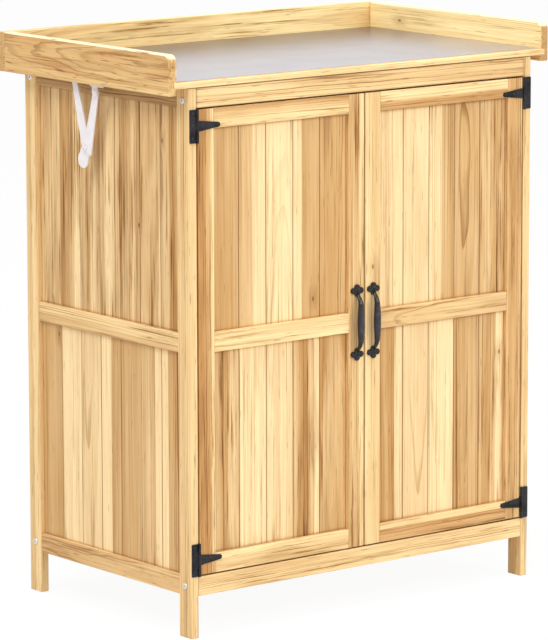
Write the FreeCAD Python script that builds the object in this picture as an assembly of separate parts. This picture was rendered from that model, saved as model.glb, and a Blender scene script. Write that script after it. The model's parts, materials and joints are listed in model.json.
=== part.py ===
import FreeCAD, Part

import math
import os

# Garden storage cabinet in softwood: a post and rail carcase with boarded walls, two inset
# framed doors on T hinges, and a metal-topped tray lid hinged at the rear and held open by
# a folding stay on each side.
#
# Every length is in millimetres. X runs to the right, Y to the rear and Z up. The sizes
# below count X from the middle of the cabinet, Y from the front face of its posts and Z
# from the ground. The finished pieces are moved so that the origin lies under the middle
# of the whole cabinet.

# Carcase
body_width = 728.0
body_depth = 452.0
body_height = 900.0
leg_clear = 70.0
post_thick = 15.0
post_wide = 32.0
rail_high = 32.0
middle_rail_level = 469.0
end_rail_deep = 28.0
side_rail_set_back = 1.0
rear_middle_thick = 15.0
arris = 0.8

# Boarding: tongued and grooved boards let into the frames
board_recess = 8.0
board_thick = 7.0
board_lap = 5.0
board_pitch = 55.7
vee = 1.3
tongue_thick = 2.2
tongue_long = 3.0
tongue_play = 0.15

# Floor and shelf
slat_thick = 10.0
slat_gap = 6.0
slat_wide = 92.0
slat_end_gap = 0.5
bearer_high = 20.0
bearer_wide = 15.0

# Bolts that pull the posts onto the front and rear rails
bolt_shank = 6.0
bolt_long = 50.0
bolt_head = 11.0
bolt_head_high = 2.2
bolt_hole_play = 0.1
top_bolt_drop = 20.0

# Doors
door_gap = 3.0
door_top_gap = 2.5
door_bottom_gap = 2.5
door_thick = 15.0
door_member = 32.0

# T hinges of the doors
plate_high = 54.0
plate_edge_gap = 0.8
leaf_thick = 1.8
strap_root = 18.0
strap_tip_radius = 4.0
strap_reach = 46.5
barrel_radius = 2.5
pin_radius = 1.2
pin_play = 0.1
pin_end = 0.8
hinge_from_post = 0.3
knuckle_gap = 0.3
leaf_notch_gap = 0.6
top_hinge_from_door_top = 26.5
bottom_hinge_from_door_bottom = 25.5

# Cast pull handles
handle_centres = 107.0
handle_level = 485.0
lobe_radius = 5.2
lobe_offset_side = 7.8
lobe_offset_end = 5.4
rosette_core = 7.0
rosette_rim = 4.2
rosette_bevel = 1.4
rosette_high = 6.0
screw_seat = 3.4
grip_reach = 12.2
grip_half_wide = 7.1
grip_half_thick = 4.3
grip_flatness = 7.0
grip_fullness = 1.9
neck_half_wide = 3.0
neck_half_thick = 2.8
neck_start = 8.0
neck_height = 4.0

# Door catches
catch_wide = 36.0
catch_deep = 12.0
catch_high = 14.0
catch_from_middle = 44.0
strike_thick = 1.0
strike_gap = 0.3

# Tray lid
lid_seat_gap = 0.3
panel_thick = 11.4
sheet_thick = 0.7
sheet_edge_gap = 0.3
side_overhang = 23.0
tray_board = 16.5
tray_arris = 1.6
tray_board_high = 66.0
tray_board_drop = 10.0
tray_corner_radius = 12.0
back_board = 16.0
back_board_gap = 3.0
strip_deep = 7.0
strip_below_sheet = 1.5
strip_proud = 2.0
strip_lap = 7.0
strip_lift = 0.8

# Butt hinges of the lid
lid_hinge_long = 60.0
lid_hinge_from_middle = 240.0
lid_leaf_thick = 1.2
lid_barrel_radius = 2.8
lid_pin_radius = 1.5
lid_barrel_drop = 3.5
lid_body_leaf_high = 15.0
lid_leaf_top_gap = 0.5

# Folding stays
stay_wall_from_rear = 165.6
stay_wall_drop = 10.0
stay_lid_from_rear = 228.7
stay_lid_drop = 15.0
wall_arm_long = 114.4
lid_arm_long = 99.9
arm_thick = 2.0
arm_gap = 0.4
stay_stand_off = 16.0
wall_arm_top_radius = 6.4
wall_arm_low_radius = 11.2
stay_tab_radius = 13.5
stay_tab_from_knuckle = 22.0
stay_tab_turn = 41.0
lid_arm_top_radius = 7.0
lid_arm_low_half = 12.0
lid_arm_end = 5.0
lid_arm_set_forward = 7.0
rivet_radius = 3.0
rivet_head_radius = 5.0
rivet_head_high = 1.2
rivet_gap = 0.3
wall_plate_long = 34.0
wall_plate_thick = 2.0
wall_plate_margin = 3.0
wall_boss_radius = 6.0
lid_plate_long = 36.0
lid_plate_set_forward = 6.0
lid_plate_high = 14.0
lid_plate_thick = 2.0
lid_plate_hang = 5.5
lid_plate_tab_radius = 7.0

# Levels and planes that follow from the sizes above
half_width = body_width / 2
rail_bottom = leg_clear
rail_top = leg_clear + rail_high
top_rail_level = body_height - rail_high
middle_rail_top = middle_rail_level + rail_high
inner_half = half_width - post_thick
rear_face = body_depth
door_bottom = rail_top + door_bottom_gap
door_top = top_rail_level - door_top_gap
door_outer = -inner_half + door_gap
door_inner = -door_gap / 2
hinge_x = -inner_half + hinge_from_post
hinge_y = -barrel_radius
panel_bottom = body_height + lid_seat_gap
panel_top = panel_bottom + panel_thick
sheet_top = panel_top + sheet_thick
tray_inner = half_width + side_overhang
tray_outer = tray_inner + tray_board
tray_bottom = body_height - tray_board_drop
tray_top = tray_bottom + tray_board_high
back_front = rear_face + back_board_gap
back_rear = back_front + back_board
strip_back = strip_deep - strip_proud
lid_axis_y = back_front - lid_leaf_thick + lid_barrel_radius
lid_axis_z = tray_bottom - lid_barrel_drop
handle_reach = grip_reach + grip_half_thick
depth_middle = (back_rear - handle_reach) / 2
floor_top = rail_top
shelf_top = middle_rail_top
wall_pivot_y = rear_face - stay_wall_from_rear
wall_pivot_z = body_height - stay_wall_drop
lid_pivot_y = rear_face - stay_lid_from_rear
lid_pivot_z = tray_bottom - stay_lid_drop
wall_arm_x = -half_width - stay_stand_off
lid_arm_x = wall_arm_x - arm_thick - arm_gap
lid_plate_x = -tray_inner
top_bolt_level = body_height - top_bolt_drop
bottom_bolt_level = rail_bottom + rail_high / 2


def knuckle_of_stay():
    """Place of the stay's lower pivot, found from its two arm lengths."""
    along_y = lid_pivot_y - wall_pivot_y
    along_z = lid_pivot_z - wall_pivot_z
    span = math.hypot(along_y, along_z)
    reach = (wall_arm_long ** 2 + span ** 2 - lid_arm_long ** 2) / (2 * span)
    drop = math.sqrt(wall_arm_long ** 2 - reach ** 2)
    foot_y = wall_pivot_y + along_y / span * reach
    foot_z = wall_pivot_z + along_z / span * reach
    return foot_y - along_z / span * drop, foot_z + along_y / span * drop


knuckle_y, knuckle_z = knuckle_of_stay()


def vec(x, y, z):
    return FreeCAD.Vector(x, y, z)


def box(x0, x1, y0, y1, z0, z1):
    """Plain block between two values on each axis."""
    return Part.makeBox(x1 - x0, y1 - y0, z1 - z0, vec(x0, y0, z0))


def member(x0, x1, y0, y1, z0, z1):
    """Planed wooden member with every sharp edge eased by a small flat."""
    block = box(x0, x1, y0, y1, z0, z1)
    return block.makeChamfer(arris, block.Edges)


def rod(radius, start, axis, length):
    """Round bar from a start point along an axis."""
    return Part.makeCylinder(radius, length, start, axis)


def mirrored(shape):
    """The same piece on the other side of the cabinet."""
    return shape.mirror(vec(0, 0, 0), vec(1, 0, 0))


def prism_yz(points, x0, x1):
    """Closed outline drawn in Y and Z, given a thickness along X."""
    corners = [vec(x0, y, z) for y, z in points]
    face = Part.Face(Part.makePolygon(corners + corners[:1]))
    return face.extrude(vec(x1 - x0, 0, 0))


def joined(first, others):
    """One solid from pieces that touch or overlap."""
    return first.fuse(others).removeSplitter()


def board_profile(start, end, first, last):
    """Plan outline of one board, with its front face on y = 0.

    A board has a groove on its left edge and a tongue on its right edge. The outer edges
    of the first and last boards are plain, because they sit in the frame.
    """
    middle = board_thick / 2
    tongue = tongue_thick / 2
    groove = tongue + tongue_play
    deep = tongue_long + tongue_play
    if first:
        left = [(start, board_thick), (start, 0)]
    else:
        left = [
            (start, board_thick),
            (start, middle + groove),
            (start + deep, middle + groove),
            (start + deep, middle - groove),
            (start, middle - groove),
            (start, vee),
            (start + vee, 0),
        ]
    if last:
        right = [(end, 0), (end, board_thick)]
    else:
        right = [
            (end - vee, 0),
            (end, vee),
            (end, middle - tongue),
            (end + tongue_long, middle - tongue),
            (end + tongue_long, middle + tongue),
            (end, middle + tongue),
            (end, board_thick),
        ]
    return left + right


def boarding(opening, low, high):
    """Boards that fill an opening of the given width, standing between two levels.

    The opening starts at x = 0. The boards run past it by the lap on every side.
    """
    count = max(2, round(opening / board_pitch))
    pitch = opening / count
    boards = []
    for index in range(count):
        first = index == 0
        last = index == count - 1
        start = -board_lap if first else index * pitch
        end = opening + board_lap if last else (index + 1) * pitch
        outline = [vec(x, y, low - board_lap) for x, y in board_profile(start, end, first, last)]
        face = Part.Face(Part.makePolygon(outline + outline[:1]))
        boards.append(face.extrude(vec(0, 0, high - low + 2 * board_lap)))
    return Part.makeCompound(boards)


def placed(shape, turn, x, y):
    """Boarding turned about Z and set down at a point of the plan."""
    copy = shape.copy()
    copy.Placement = FreeCAD.Placement(vec(x, y, 0), FreeCAD.Rotation(vec(0, 0, 1), turn))
    return copy


def seat(compound):
    """The space that a set of boards takes up, cut out of the members round it."""
    size = compound.BoundBox
    return box(size.XMin, size.XMax, size.YMin, size.YMax, size.ZMin, size.ZMax)


# Wall boarding
side_opening = body_depth - 2 * post_wide
rear_opening = 2 * inner_half
board_face_x = -half_width + board_recess
side_upper = placed(boarding(side_opening, middle_rail_top, top_rail_level), -90,
                    board_face_x, rear_face - post_wide)
side_lower = placed(boarding(side_opening, rail_top, middle_rail_level), -90,
                    board_face_x, rear_face - post_wide)
rear_upper = placed(boarding(rear_opening, middle_rail_top, top_rail_level), 180,
                    inner_half, rear_face - board_recess)
rear_lower = placed(boarding(rear_opening, rail_top, middle_rail_level), 180,
                    inner_half, rear_face - board_recess)
side_seats = [seat(side_upper), seat(side_lower)]
rear_seats = [seat(rear_upper), seat(rear_lower)]


# Bolts
def bolt(y, z):
    """Bolt through the left side of a post into the end of a rail, with a bevelled head."""
    start = vec(-half_width, y, z)
    shank = rod(bolt_shank / 2, start, vec(1, 0, 0), bolt_long)
    head = rod(bolt_head / 2, start, vec(-1, 0, 0), bolt_head_high)
    rim = [edge for edge in head.Edges if edge.BoundBox.XMax < -half_width - bolt_head_high / 2]
    return joined(shank, [head.makeChamfer(bolt_head_high / 2, rim)])


def bolt_hole(y, z):
    radius = bolt_shank / 2 + bolt_hole_play
    return rod(radius, vec(-half_width - 1, y, z), vec(1, 0, 0), bolt_long + bolt_hole_play + 1)


front_bolt_y = post_wide / 2
rear_bolt_y = rear_face - post_wide / 2
bolt_places = [
    (front_bolt_y, top_bolt_level),
    (front_bolt_y, bottom_bolt_level),
    (rear_bolt_y, top_bolt_level),
    (rear_bolt_y, bottom_bolt_level),
]
left_bolts = [bolt(y, z) for y, z in bolt_places]
left_holes = [bolt_hole(y, z) for y, z in bolt_places]
both_holes = left_holes + [mirrored(hole) for hole in left_holes]
cabinet_bolts = Part.makeCompound(left_bolts + [mirrored(item) for item in left_bolts])

# Posts
front_left_post = member(-half_width, -inner_half, 0, post_wide, 0, body_height)
front_left_post = front_left_post.cut(side_seats + left_holes[:2])
rear_left_post = member(-half_width, -inner_half, rear_face - post_wide, rear_face, 0, body_height)
rear_left_post = rear_left_post.cut(side_seats + rear_seats + left_holes[2:])

# Front and rear rails, which run between the posts
front_top_rail = member(-inner_half, inner_half, 0, end_rail_deep, top_rail_level, body_height)
front_top_rail = front_top_rail.cut(both_holes)
front_bottom_rail = member(-inner_half, inner_half, 0, end_rail_deep, rail_bottom, rail_top)
front_bottom_rail = front_bottom_rail.cut(both_holes)
rear_deep_front = rear_face - end_rail_deep
rear_top_rail = member(-inner_half, inner_half, rear_deep_front, rear_face, top_rail_level, body_height)
rear_top_rail = rear_top_rail.cut(both_holes + rear_seats)
rear_bottom_rail = member(-inner_half, inner_half, rear_deep_front, rear_face, rail_bottom, rail_top)
rear_bottom_rail = rear_bottom_rail.cut(both_holes + rear_seats)
rear_middle_rail = member(-inner_half, inner_half, rear_face - rear_middle_thick, rear_face,
                          middle_rail_level, middle_rail_top)
rear_middle_rail = rear_middle_rail.cut(rear_seats)


# Side rails, set back a little from the faces of the posts
def side_rail(level):
    rail = member(-half_width + side_rail_set_back, -inner_half, post_wide, rear_face - post_wide,
                  level, level + rail_high)
    return rail.cut(side_seats)


left_side_top_rail = side_rail(top_rail_level)
left_side_middle_rail = side_rail(middle_rail_level)
left_side_bottom_rail = side_rail(rail_bottom)


# Slatted floor and shelf, each on a pair of bearers fixed to the side rails
def slats(top, front, rear):
    """Slats across the cabinet, spread evenly between a front and a rear line."""
    reach = inner_half - slat_end_gap
    count = max(2, round((rear - front) / (slat_wide + slat_gap)))
    wide = (rear - front - (count + 1) * slat_gap) / count
    pieces = []
    for index in range(count):
        start = front + slat_gap + index * (wide + slat_gap)
        pieces.append(member(-reach, reach, start, start + wide, top - slat_thick, top))
    return Part.makeCompound(pieces)


def bearer(top, front, rear):
    """Left bearer under a row of slats."""
    low = top - slat_thick - bearer_high
    return member(-inner_half, -inner_half + bearer_wide, front, rear, low, low + bearer_high)


floor_boards = slats(floor_top, end_rail_deep, rear_deep_front)
floor_bearer = bearer(floor_top, end_rail_deep, rear_deep_front)
shelf_front = post_wide
shelf_rear = rear_face - post_wide
shelf_boards = slats(shelf_top, shelf_front, shelf_rear)
shelf_bearer = bearer(shelf_top, shelf_front, shelf_rear)
slat_bearers = Part.makeCompound([floor_bearer, mirrored(floor_bearer),
                                  shelf_bearer, mirrored(shelf_bearer)])

# Left door: two stiles, three rails and two fields of boards
stile_edge = door_outer + door_member
meeting_edge = door_inner - door_member
door_opening = meeting_edge - stile_edge
door_top_rail_low = door_top - door_member
door_bottom_rail_top = door_bottom + door_member
door_upper = placed(boarding(door_opening, middle_rail_top, door_top_rail_low), 0,
                    stile_edge, board_recess)
door_lower = placed(boarding(door_opening, door_bottom_rail_top, middle_rail_level), 0,
                    stile_edge, board_recess)
door_seats = [seat(door_upper), seat(door_lower)]


def door_piece(x0, x1, z0, z1):
    """Frame member of the door, rebated at the rear for its boards."""
    return member(x0, x1, 0, door_thick, z0, z1).cut(door_seats)


door_hinge_stile = door_piece(door_outer, stile_edge, door_bottom, door_top)
door_meeting_stile = door_piece(meeting_edge, door_inner, door_bottom, door_top)
door_top_rail = door_piece(stile_edge, meeting_edge, door_top_rail_low, door_top)
door_middle_rail = door_piece(stile_edge, meeting_edge, middle_rail_level, middle_rail_top)
door_bottom_rail = door_piece(stile_edge, meeting_edge, door_bottom, door_bottom_rail_top)

# T hinges: a fixed plate on the post and a tapered strap on the door
bore_radius = pin_radius + pin_play
strap_half = strap_root / 2
up = vec(0, 0, 1)


def is_along_y(edge):
    """True for a straight edge that runs from front to rear."""
    ends = [vertex.Point for vertex in edge.Vertexes]
    return abs(ends[0].x - ends[-1].x) < 1e-6 and abs(ends[0].z - ends[-1].z) < 1e-6


def hinge_plate(level):
    """Fixed plate, its rolled knuckles above and below the strap, and the pin staked in them."""
    half = plate_high / 2
    outer = -half_width + plate_edge_gap
    notch_edge = hinge_x - barrel_radius - leaf_notch_gap
    leaf = box(outer, notch_edge, -leaf_thick, 0, level - half, level + half)
    corners = [edge for edge in leaf.Edges if is_along_y(edge)
               and abs(edge.CenterOfMass.x - outer) < leaf_thick / 2]
    leaf = leaf.makeFillet(leaf_thick, corners)
    knuckle_starts = (level - half, level + strap_half + knuckle_gap)
    knuckle_long = half - strap_half - knuckle_gap
    pin_low = vec(hinge_x, hinge_y, level - half - pin_end)
    parts = [rod(pin_radius, pin_low, up, plate_high + 2 * pin_end)]
    for start in knuckle_starts:
        parts.append(rod(barrel_radius, vec(hinge_x, hinge_y, start), up, knuckle_long))
        parts.append(box(notch_edge, hinge_x, -leaf_thick, 0, start, start + knuckle_long))
    return joined(leaf, parts)


def hinge_strap(level):
    """Tapered strap with a round tip and a rolled knuckle at its root."""
    tip_x = hinge_x + strap_reach
    tip_mid = tip_x - strap_tip_radius
    root_high = vec(hinge_x, 0, level + strap_half)
    root_low = vec(hinge_x, 0, level - strap_half)
    tip_high = vec(tip_mid, 0, level + strap_tip_radius)
    tip_low = vec(tip_mid, 0, level - strap_tip_radius)
    edges = [
        Part.LineSegment(root_low, tip_low).toShape(),
        Part.Arc(tip_low, vec(tip_x, 0, level), tip_high).toShape(),
        Part.LineSegment(tip_high, root_high).toShape(),
        Part.LineSegment(root_high, root_low).toShape(),
    ]
    leaf = Part.Face(Part.Wire(edges)).extrude(vec(0, -leaf_thick, 0))
    barrel = rod(barrel_radius, vec(hinge_x, hinge_y, level - strap_half), up, strap_root)
    bore = rod(bore_radius, vec(hinge_x, hinge_y, level - strap_root), up, 2 * strap_root)
    return joined(leaf, [barrel]).cut(bore)


hinge_levels = (door_top - top_hinge_from_door_top, door_bottom + bottom_hinge_from_door_bottom)
left_plates = [hinge_plate(level) for level in hinge_levels]
door_hinge_plates = Part.makeCompound(left_plates + [mirrored(item) for item in left_plates])
door_hinge_straps = Part.makeCompound([hinge_strap(level) for level in hinge_levels])


# Cast pull: a bowed grip that swells in the middle, between two four-lobed rosettes
def turned_boss(x, z, radius, straight, top_radius, high):
    """Low round boss on the door face: a straight foot and a cone above it."""
    back = vec(0, -1, 0)
    foot = rod(radius, vec(x, 0, z), back, straight)
    cone = Part.makeCone(radius, top_radius, high - straight, vec(x, -straight, z), back)
    return foot.fuse(cone)


def rosette(x, z):
    """Four bevelled lobes round a core that rises to the seat of the screw."""
    straight = rosette_rim - rosette_bevel
    bosses = []
    for turn in range(4):
        angle = math.radians(90 * turn)
        lobe_x = x + lobe_offset_side * math.cos(angle)
        lobe_z = z + lobe_offset_end * math.sin(angle)
        top_radius = lobe_radius - rosette_bevel
        bosses.append(turned_boss(lobe_x, lobe_z, lobe_radius, straight, top_radius, rosette_rim))
    core = turned_boss(x, z, rosette_core, straight, screw_seat, rosette_high)
    return joined(core, bosses)


def grip_section(x, z_mid, share):
    """Oval across the grip at a share of its length, from one neck (-1) to the other (1)."""
    bow = 1 - abs(share) ** grip_flatness
    swell = 1 - abs(share) ** grip_fullness
    ends = handle_centres / 2 - neck_start
    reach = neck_height + (grip_reach - neck_height) * bow
    wide = neck_half_wide + (grip_half_wide - neck_half_wide) * swell
    thick = neck_half_thick + (grip_half_thick - neck_half_thick) * swell
    return vec(x, -reach, z_mid + ends * share), wide, thick


def grip(x, z_mid):
    """Loft through ovals set square to the bowed line of the grip."""
    stations = 12
    step = 0.02
    wires = []
    for index in range(stations + 1):
        share = math.sin(math.radians(180) * (index / stations - 0.5))
        centre, wide, thick = grip_section(x, z_mid, share)
        ahead = grip_section(x, z_mid, min(1.0, share + step))[0]
        behind = grip_section(x, z_mid, max(-1.0, share - step))[0]
        along = (ahead - behind).normalize()
        oval = Part.Ellipse()
        oval.MajorRadius = wide
        oval.MinorRadius = thick
        wire = Part.Wire([oval.toShape()])
        across = vec(1, 0, 0)
        outward = along.cross(across)
        frame = FreeCAD.Rotation(across, outward, along, "XYZ")
        wire.Placement = FreeCAD.Placement(centre, frame)
        wires.append(wire)
    return Part.makeLoft(wires, True, True)


def pull_handle(x):
    half = handle_centres / 2
    rosettes = [rosette(x, handle_level - half), rosette(x, handle_level + half)]
    return joined(grip(x, handle_level), rosettes)


handle_x = (meeting_edge + door_inner) / 2
door_handle = pull_handle(handle_x)

# Magnetic catch behind the front top rail, and the strike on the door that meets it
catch_x = -catch_from_middle
catch_front = door_thick + strike_thick + strike_gap
catch_half = catch_wide / 2
catch_body = box(catch_x - catch_half, catch_x + catch_half, catch_front, catch_front + catch_deep,
                 top_rail_level - catch_high, top_rail_level)
catch_body = catch_body.makeChamfer(arris, catch_body.Edges)
door_catches = Part.makeCompound([catch_body, mirrored(catch_body)])
door_strike = box(catch_x - catch_half, catch_x + catch_half, door_thick, door_thick + strike_thick,
                  door_top - catch_high, door_top - door_top_gap)

# Tray lid
tray_panel = box(-tray_inner, tray_inner, strip_back, back_front, panel_bottom, panel_top)
sheet_reach = tray_inner - sheet_edge_gap
galvanised_sheet = box(-sheet_reach, sheet_reach, strip_back + sheet_edge_gap,
                       back_front - sheet_edge_gap, panel_top, sheet_top)
strip_half = tray_inner + strip_lap
strip_low = panel_bottom + strip_lift
strip_top = sheet_top - strip_below_sheet
tray_front_strip = member(-strip_half, strip_half, -strip_proud, strip_back, strip_low, strip_top)
tray_back_board = member(-tray_outer, tray_outer, back_front, back_rear, tray_bottom, tray_top)


def tray_side():
    """Left side board with a rounded top front corner and a notch for the front strip."""
    radius = tray_corner_radius
    lean = radius * (1 - math.sqrt(0.5))
    low_front = vec(-tray_outer, 0, tray_bottom)
    low_rear = vec(-tray_outer, back_front, tray_bottom)
    high_rear = vec(-tray_outer, back_front, tray_top)
    arc_rear = vec(-tray_outer, radius, tray_top)
    arc_middle = vec(-tray_outer, lean, tray_top - lean)
    arc_front = vec(-tray_outer, 0, tray_top - radius)
    edges = [
        Part.LineSegment(low_front, low_rear).toShape(),
        Part.LineSegment(low_rear, high_rear).toShape(),
        Part.LineSegment(high_rear, arc_rear).toShape(),
        Part.Arc(arc_rear, arc_middle, arc_front).toShape(),
        Part.LineSegment(arc_front, low_front).toShape(),
    ]
    board = Part.Face(Part.Wire(edges)).extrude(vec(tray_board, 0, 0))
    board = board.makeChamfer(tray_arris, board.Edges)
    notch = box(-strip_half, -tray_inner + 1, -1, strip_back, strip_low, strip_top)
    return board.cut(notch)


tray_left_board = tray_side()

# Butt hinges of the lid: the body leaf is cranked out to the barrel below the back board
lid_bore = lid_pin_radius + pin_play
lid_knuckle = lid_hinge_long / 3
along_x = vec(1, 0, 0)


def lid_hinge_body(x0):
    """Fixed leaf on the rear rail, its two outer knuckles and the pin staked in them."""
    crank_low = lid_axis_z - lid_barrel_radius
    crank_top = crank_low + lid_leaf_thick
    leaf = box(x0, x0 + lid_hinge_long, rear_face, rear_face + lid_leaf_thick,
               crank_top - lid_body_leaf_high, crank_top)
    knuckle = lid_knuckle - knuckle_gap
    pin_start = vec(x0 - pin_end, lid_axis_y, lid_axis_z)
    parts = [rod(lid_pin_radius, pin_start, along_x, lid_hinge_long + 2 * pin_end)]
    for start in (x0, x0 + lid_hinge_long - knuckle):
        parts.append(box(start, start + knuckle, rear_face, lid_axis_y, crank_low, crank_top))
        parts.append(rod(lid_barrel_radius, vec(start, lid_axis_y, lid_axis_z), along_x, knuckle))
    return joined(leaf, parts)


def lid_hinge_lid(x0):
    """Leaf on the front of the back board with the middle knuckle."""
    front = lid_axis_y - lid_barrel_radius
    low = lid_axis_z + lid_barrel_radius + leaf_notch_gap
    high = panel_bottom - lid_leaf_top_gap
    leaf = box(x0, x0 + lid_hinge_long, front, back_front, low, high)
    start = x0 + lid_knuckle
    tongue = box(start, start + lid_knuckle, front, back_front, lid_axis_z, high)
    barrel = rod(lid_barrel_radius, vec(start, lid_axis_y, lid_axis_z), along_x, lid_knuckle)
    bore = rod(lid_bore, vec(start - 1, lid_axis_y, lid_axis_z), along_x, lid_knuckle + 2)
    return joined(leaf, [tongue, barrel]).cut(bore)


hinge_start = -lid_hinge_from_middle - lid_hinge_long / 2
body_side = lid_hinge_body(hinge_start)
lid_hinge_body_leaves = Part.makeCompound([body_side, mirrored(body_side)])
lid_side = lid_hinge_lid(hinge_start)
lid_hinge_lid_leaves = Part.makeCompound([lid_side, mirrored(lid_side)])

# Left folding stay
outward = vec(-1, 0, 0)
rivet_bore = rivet_radius + pin_play


def tapered_link(y0, z0, r0, y1, z1, r1, x0):
    """Flat link with round ends of two radii, thick towards the outside."""
    span = math.hypot(y1 - y0, z1 - z0)
    side_y = -(z1 - z0) / span
    side_z = (y1 - y0) / span
    outline = [
        (y0 + side_y * r0, z0 + side_z * r0),
        (y1 + side_y * r1, z1 + side_z * r1),
        (y1 - side_y * r1, z1 - side_z * r1),
        (y0 - side_y * r0, z0 - side_z * r0),
    ]
    web = prism_yz(outline, x0 - arm_thick, x0)
    ends = [rod(r0, vec(x0, y0, z0), outward, arm_thick), rod(r1, vec(x0, y1, z1), outward, arm_thick)]
    return joined(web, ends)


def wall_pivot():
    """Plate on the side rail with a boss, a stud and a head that carry the stay."""
    face = -half_width + side_rail_set_back
    half = wall_plate_long / 2
    high = body_height - wall_plate_margin
    low = 2 * wall_pivot_z - high
    plate = box(face - wall_plate_thick, face, wall_pivot_y - half, wall_pivot_y + half, low, high)
    boss_end = wall_arm_x + rivet_gap
    start = vec(face - wall_plate_thick, wall_pivot_y, wall_pivot_z)
    boss = rod(wall_boss_radius, start, outward, start.x - boss_end)
    head_x = wall_arm_x - arm_thick - rivet_gap
    stud = rod(rivet_radius, start, outward, start.x - head_x)
    head = rod(rivet_head_radius, vec(head_x, wall_pivot_y, wall_pivot_z), outward, rivet_head_high)
    return joined(plate, [boss, stud, head])


def wall_arm():
    """Arm from the wall pivot to the knuckle, with a round thumb tab below the knuckle."""
    arm = tapered_link(wall_pivot_y, wall_pivot_z, wall_arm_top_radius,
                       knuckle_y, knuckle_z, wall_arm_low_radius, wall_arm_x)
    down = math.atan2(knuckle_z - wall_pivot_z, knuckle_y - wall_pivot_y) + math.radians(stay_tab_turn)
    tab_y = knuckle_y + stay_tab_from_knuckle * math.cos(down)
    tab_z = knuckle_z + stay_tab_from_knuckle * math.sin(down)
    tab = tapered_link(knuckle_y, knuckle_z, wall_arm_low_radius, tab_y, tab_z, stay_tab_radius, wall_arm_x)
    hole = rod(rivet_bore, vec(wall_arm_x + 1, wall_pivot_y, wall_pivot_z), outward, arm_thick + 2)
    head_x = lid_arm_x - arm_thick - rivet_gap
    face = wall_arm_x - arm_thick
    rivet = rod(rivet_radius, vec(face, knuckle_y, knuckle_z), outward, face - head_x)
    head = rod(rivet_head_radius, vec(head_x, knuckle_y, knuckle_z), outward, rivet_head_high)
    return joined(arm, [tab, rivet, head]).cut(hole)


def lid_arm():
    """Arm from the knuckle to the lid plate, widening to a square lower end.

    The knuckle sits behind the middle line of the arm, near its rear edge.
    """
    run_y = (knuckle_y - lid_pivot_y) / lid_arm_long
    run_z = (knuckle_z - lid_pivot_z) / lid_arm_long
    top = lid_arm_top_radius
    front = lid_arm_set_forward + lid_arm_low_half
    rear = lid_arm_set_forward - lid_arm_low_half
    end_y = knuckle_y + run_y * lid_arm_end
    end_z = knuckle_z + run_z * lid_arm_end
    outline = [
        (lid_pivot_y + run_z * top, lid_pivot_z - run_y * top),
        (end_y + run_z * front, end_z - run_y * front),
        (end_y + run_z * rear, end_z - run_y * rear),
        (lid_pivot_y - run_z * top, lid_pivot_z + run_y * top),
    ]
    web = prism_yz(outline, lid_arm_x - arm_thick, lid_arm_x)
    round_top = rod(top, vec(lid_arm_x, lid_pivot_y, lid_pivot_z), outward, arm_thick)
    face = lid_arm_x - arm_thick
    button_high = face - (lid_plate_x + lid_plate_thick) - rivet_gap
    button = rod(rivet_head_radius, vec(face, lid_pivot_y, lid_pivot_z), outward, button_high)
    hole = rod(rivet_bore, vec(lid_arm_x + 1, knuckle_y, knuckle_z), outward, arm_thick + 2)
    return joined(web, [round_top, button]).cut(hole)


def lid_plate():
    """T-shaped plate on the inner face of the side board, with a rivet head at its foot."""
    half = lid_plate_long / 2
    low = tray_bottom - lid_plate_hang
    x0 = lid_plate_x
    x1 = lid_plate_x + lid_plate_thick
    middle = lid_pivot_y - lid_plate_set_forward
    bar = box(x0, x1, middle - half, middle + half, low, low + lid_plate_high)
    tab = box(x0, x1, lid_pivot_y - lid_plate_tab_radius, lid_pivot_y + lid_plate_tab_radius,
              lid_pivot_z, low)
    foot = rod(lid_plate_tab_radius, vec(x1, lid_pivot_y, lid_pivot_z), outward, lid_plate_thick)
    head = rod(rivet_head_radius, vec(x0, lid_pivot_y, lid_pivot_z), outward, rivet_head_high)
    return joined(bar, [tab, foot, head])


left_wall_pivot = wall_pivot()
stay_wall_pivots = Part.makeCompound([left_wall_pivot, mirrored(left_wall_pivot)])
left_stay_wall_arm = wall_arm()
left_stay_lid_arm = lid_arm()
left_lid_plate = lid_plate()
stay_lid_plates = Part.makeCompound([left_lid_plate, mirrored(left_lid_plate)])

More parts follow.
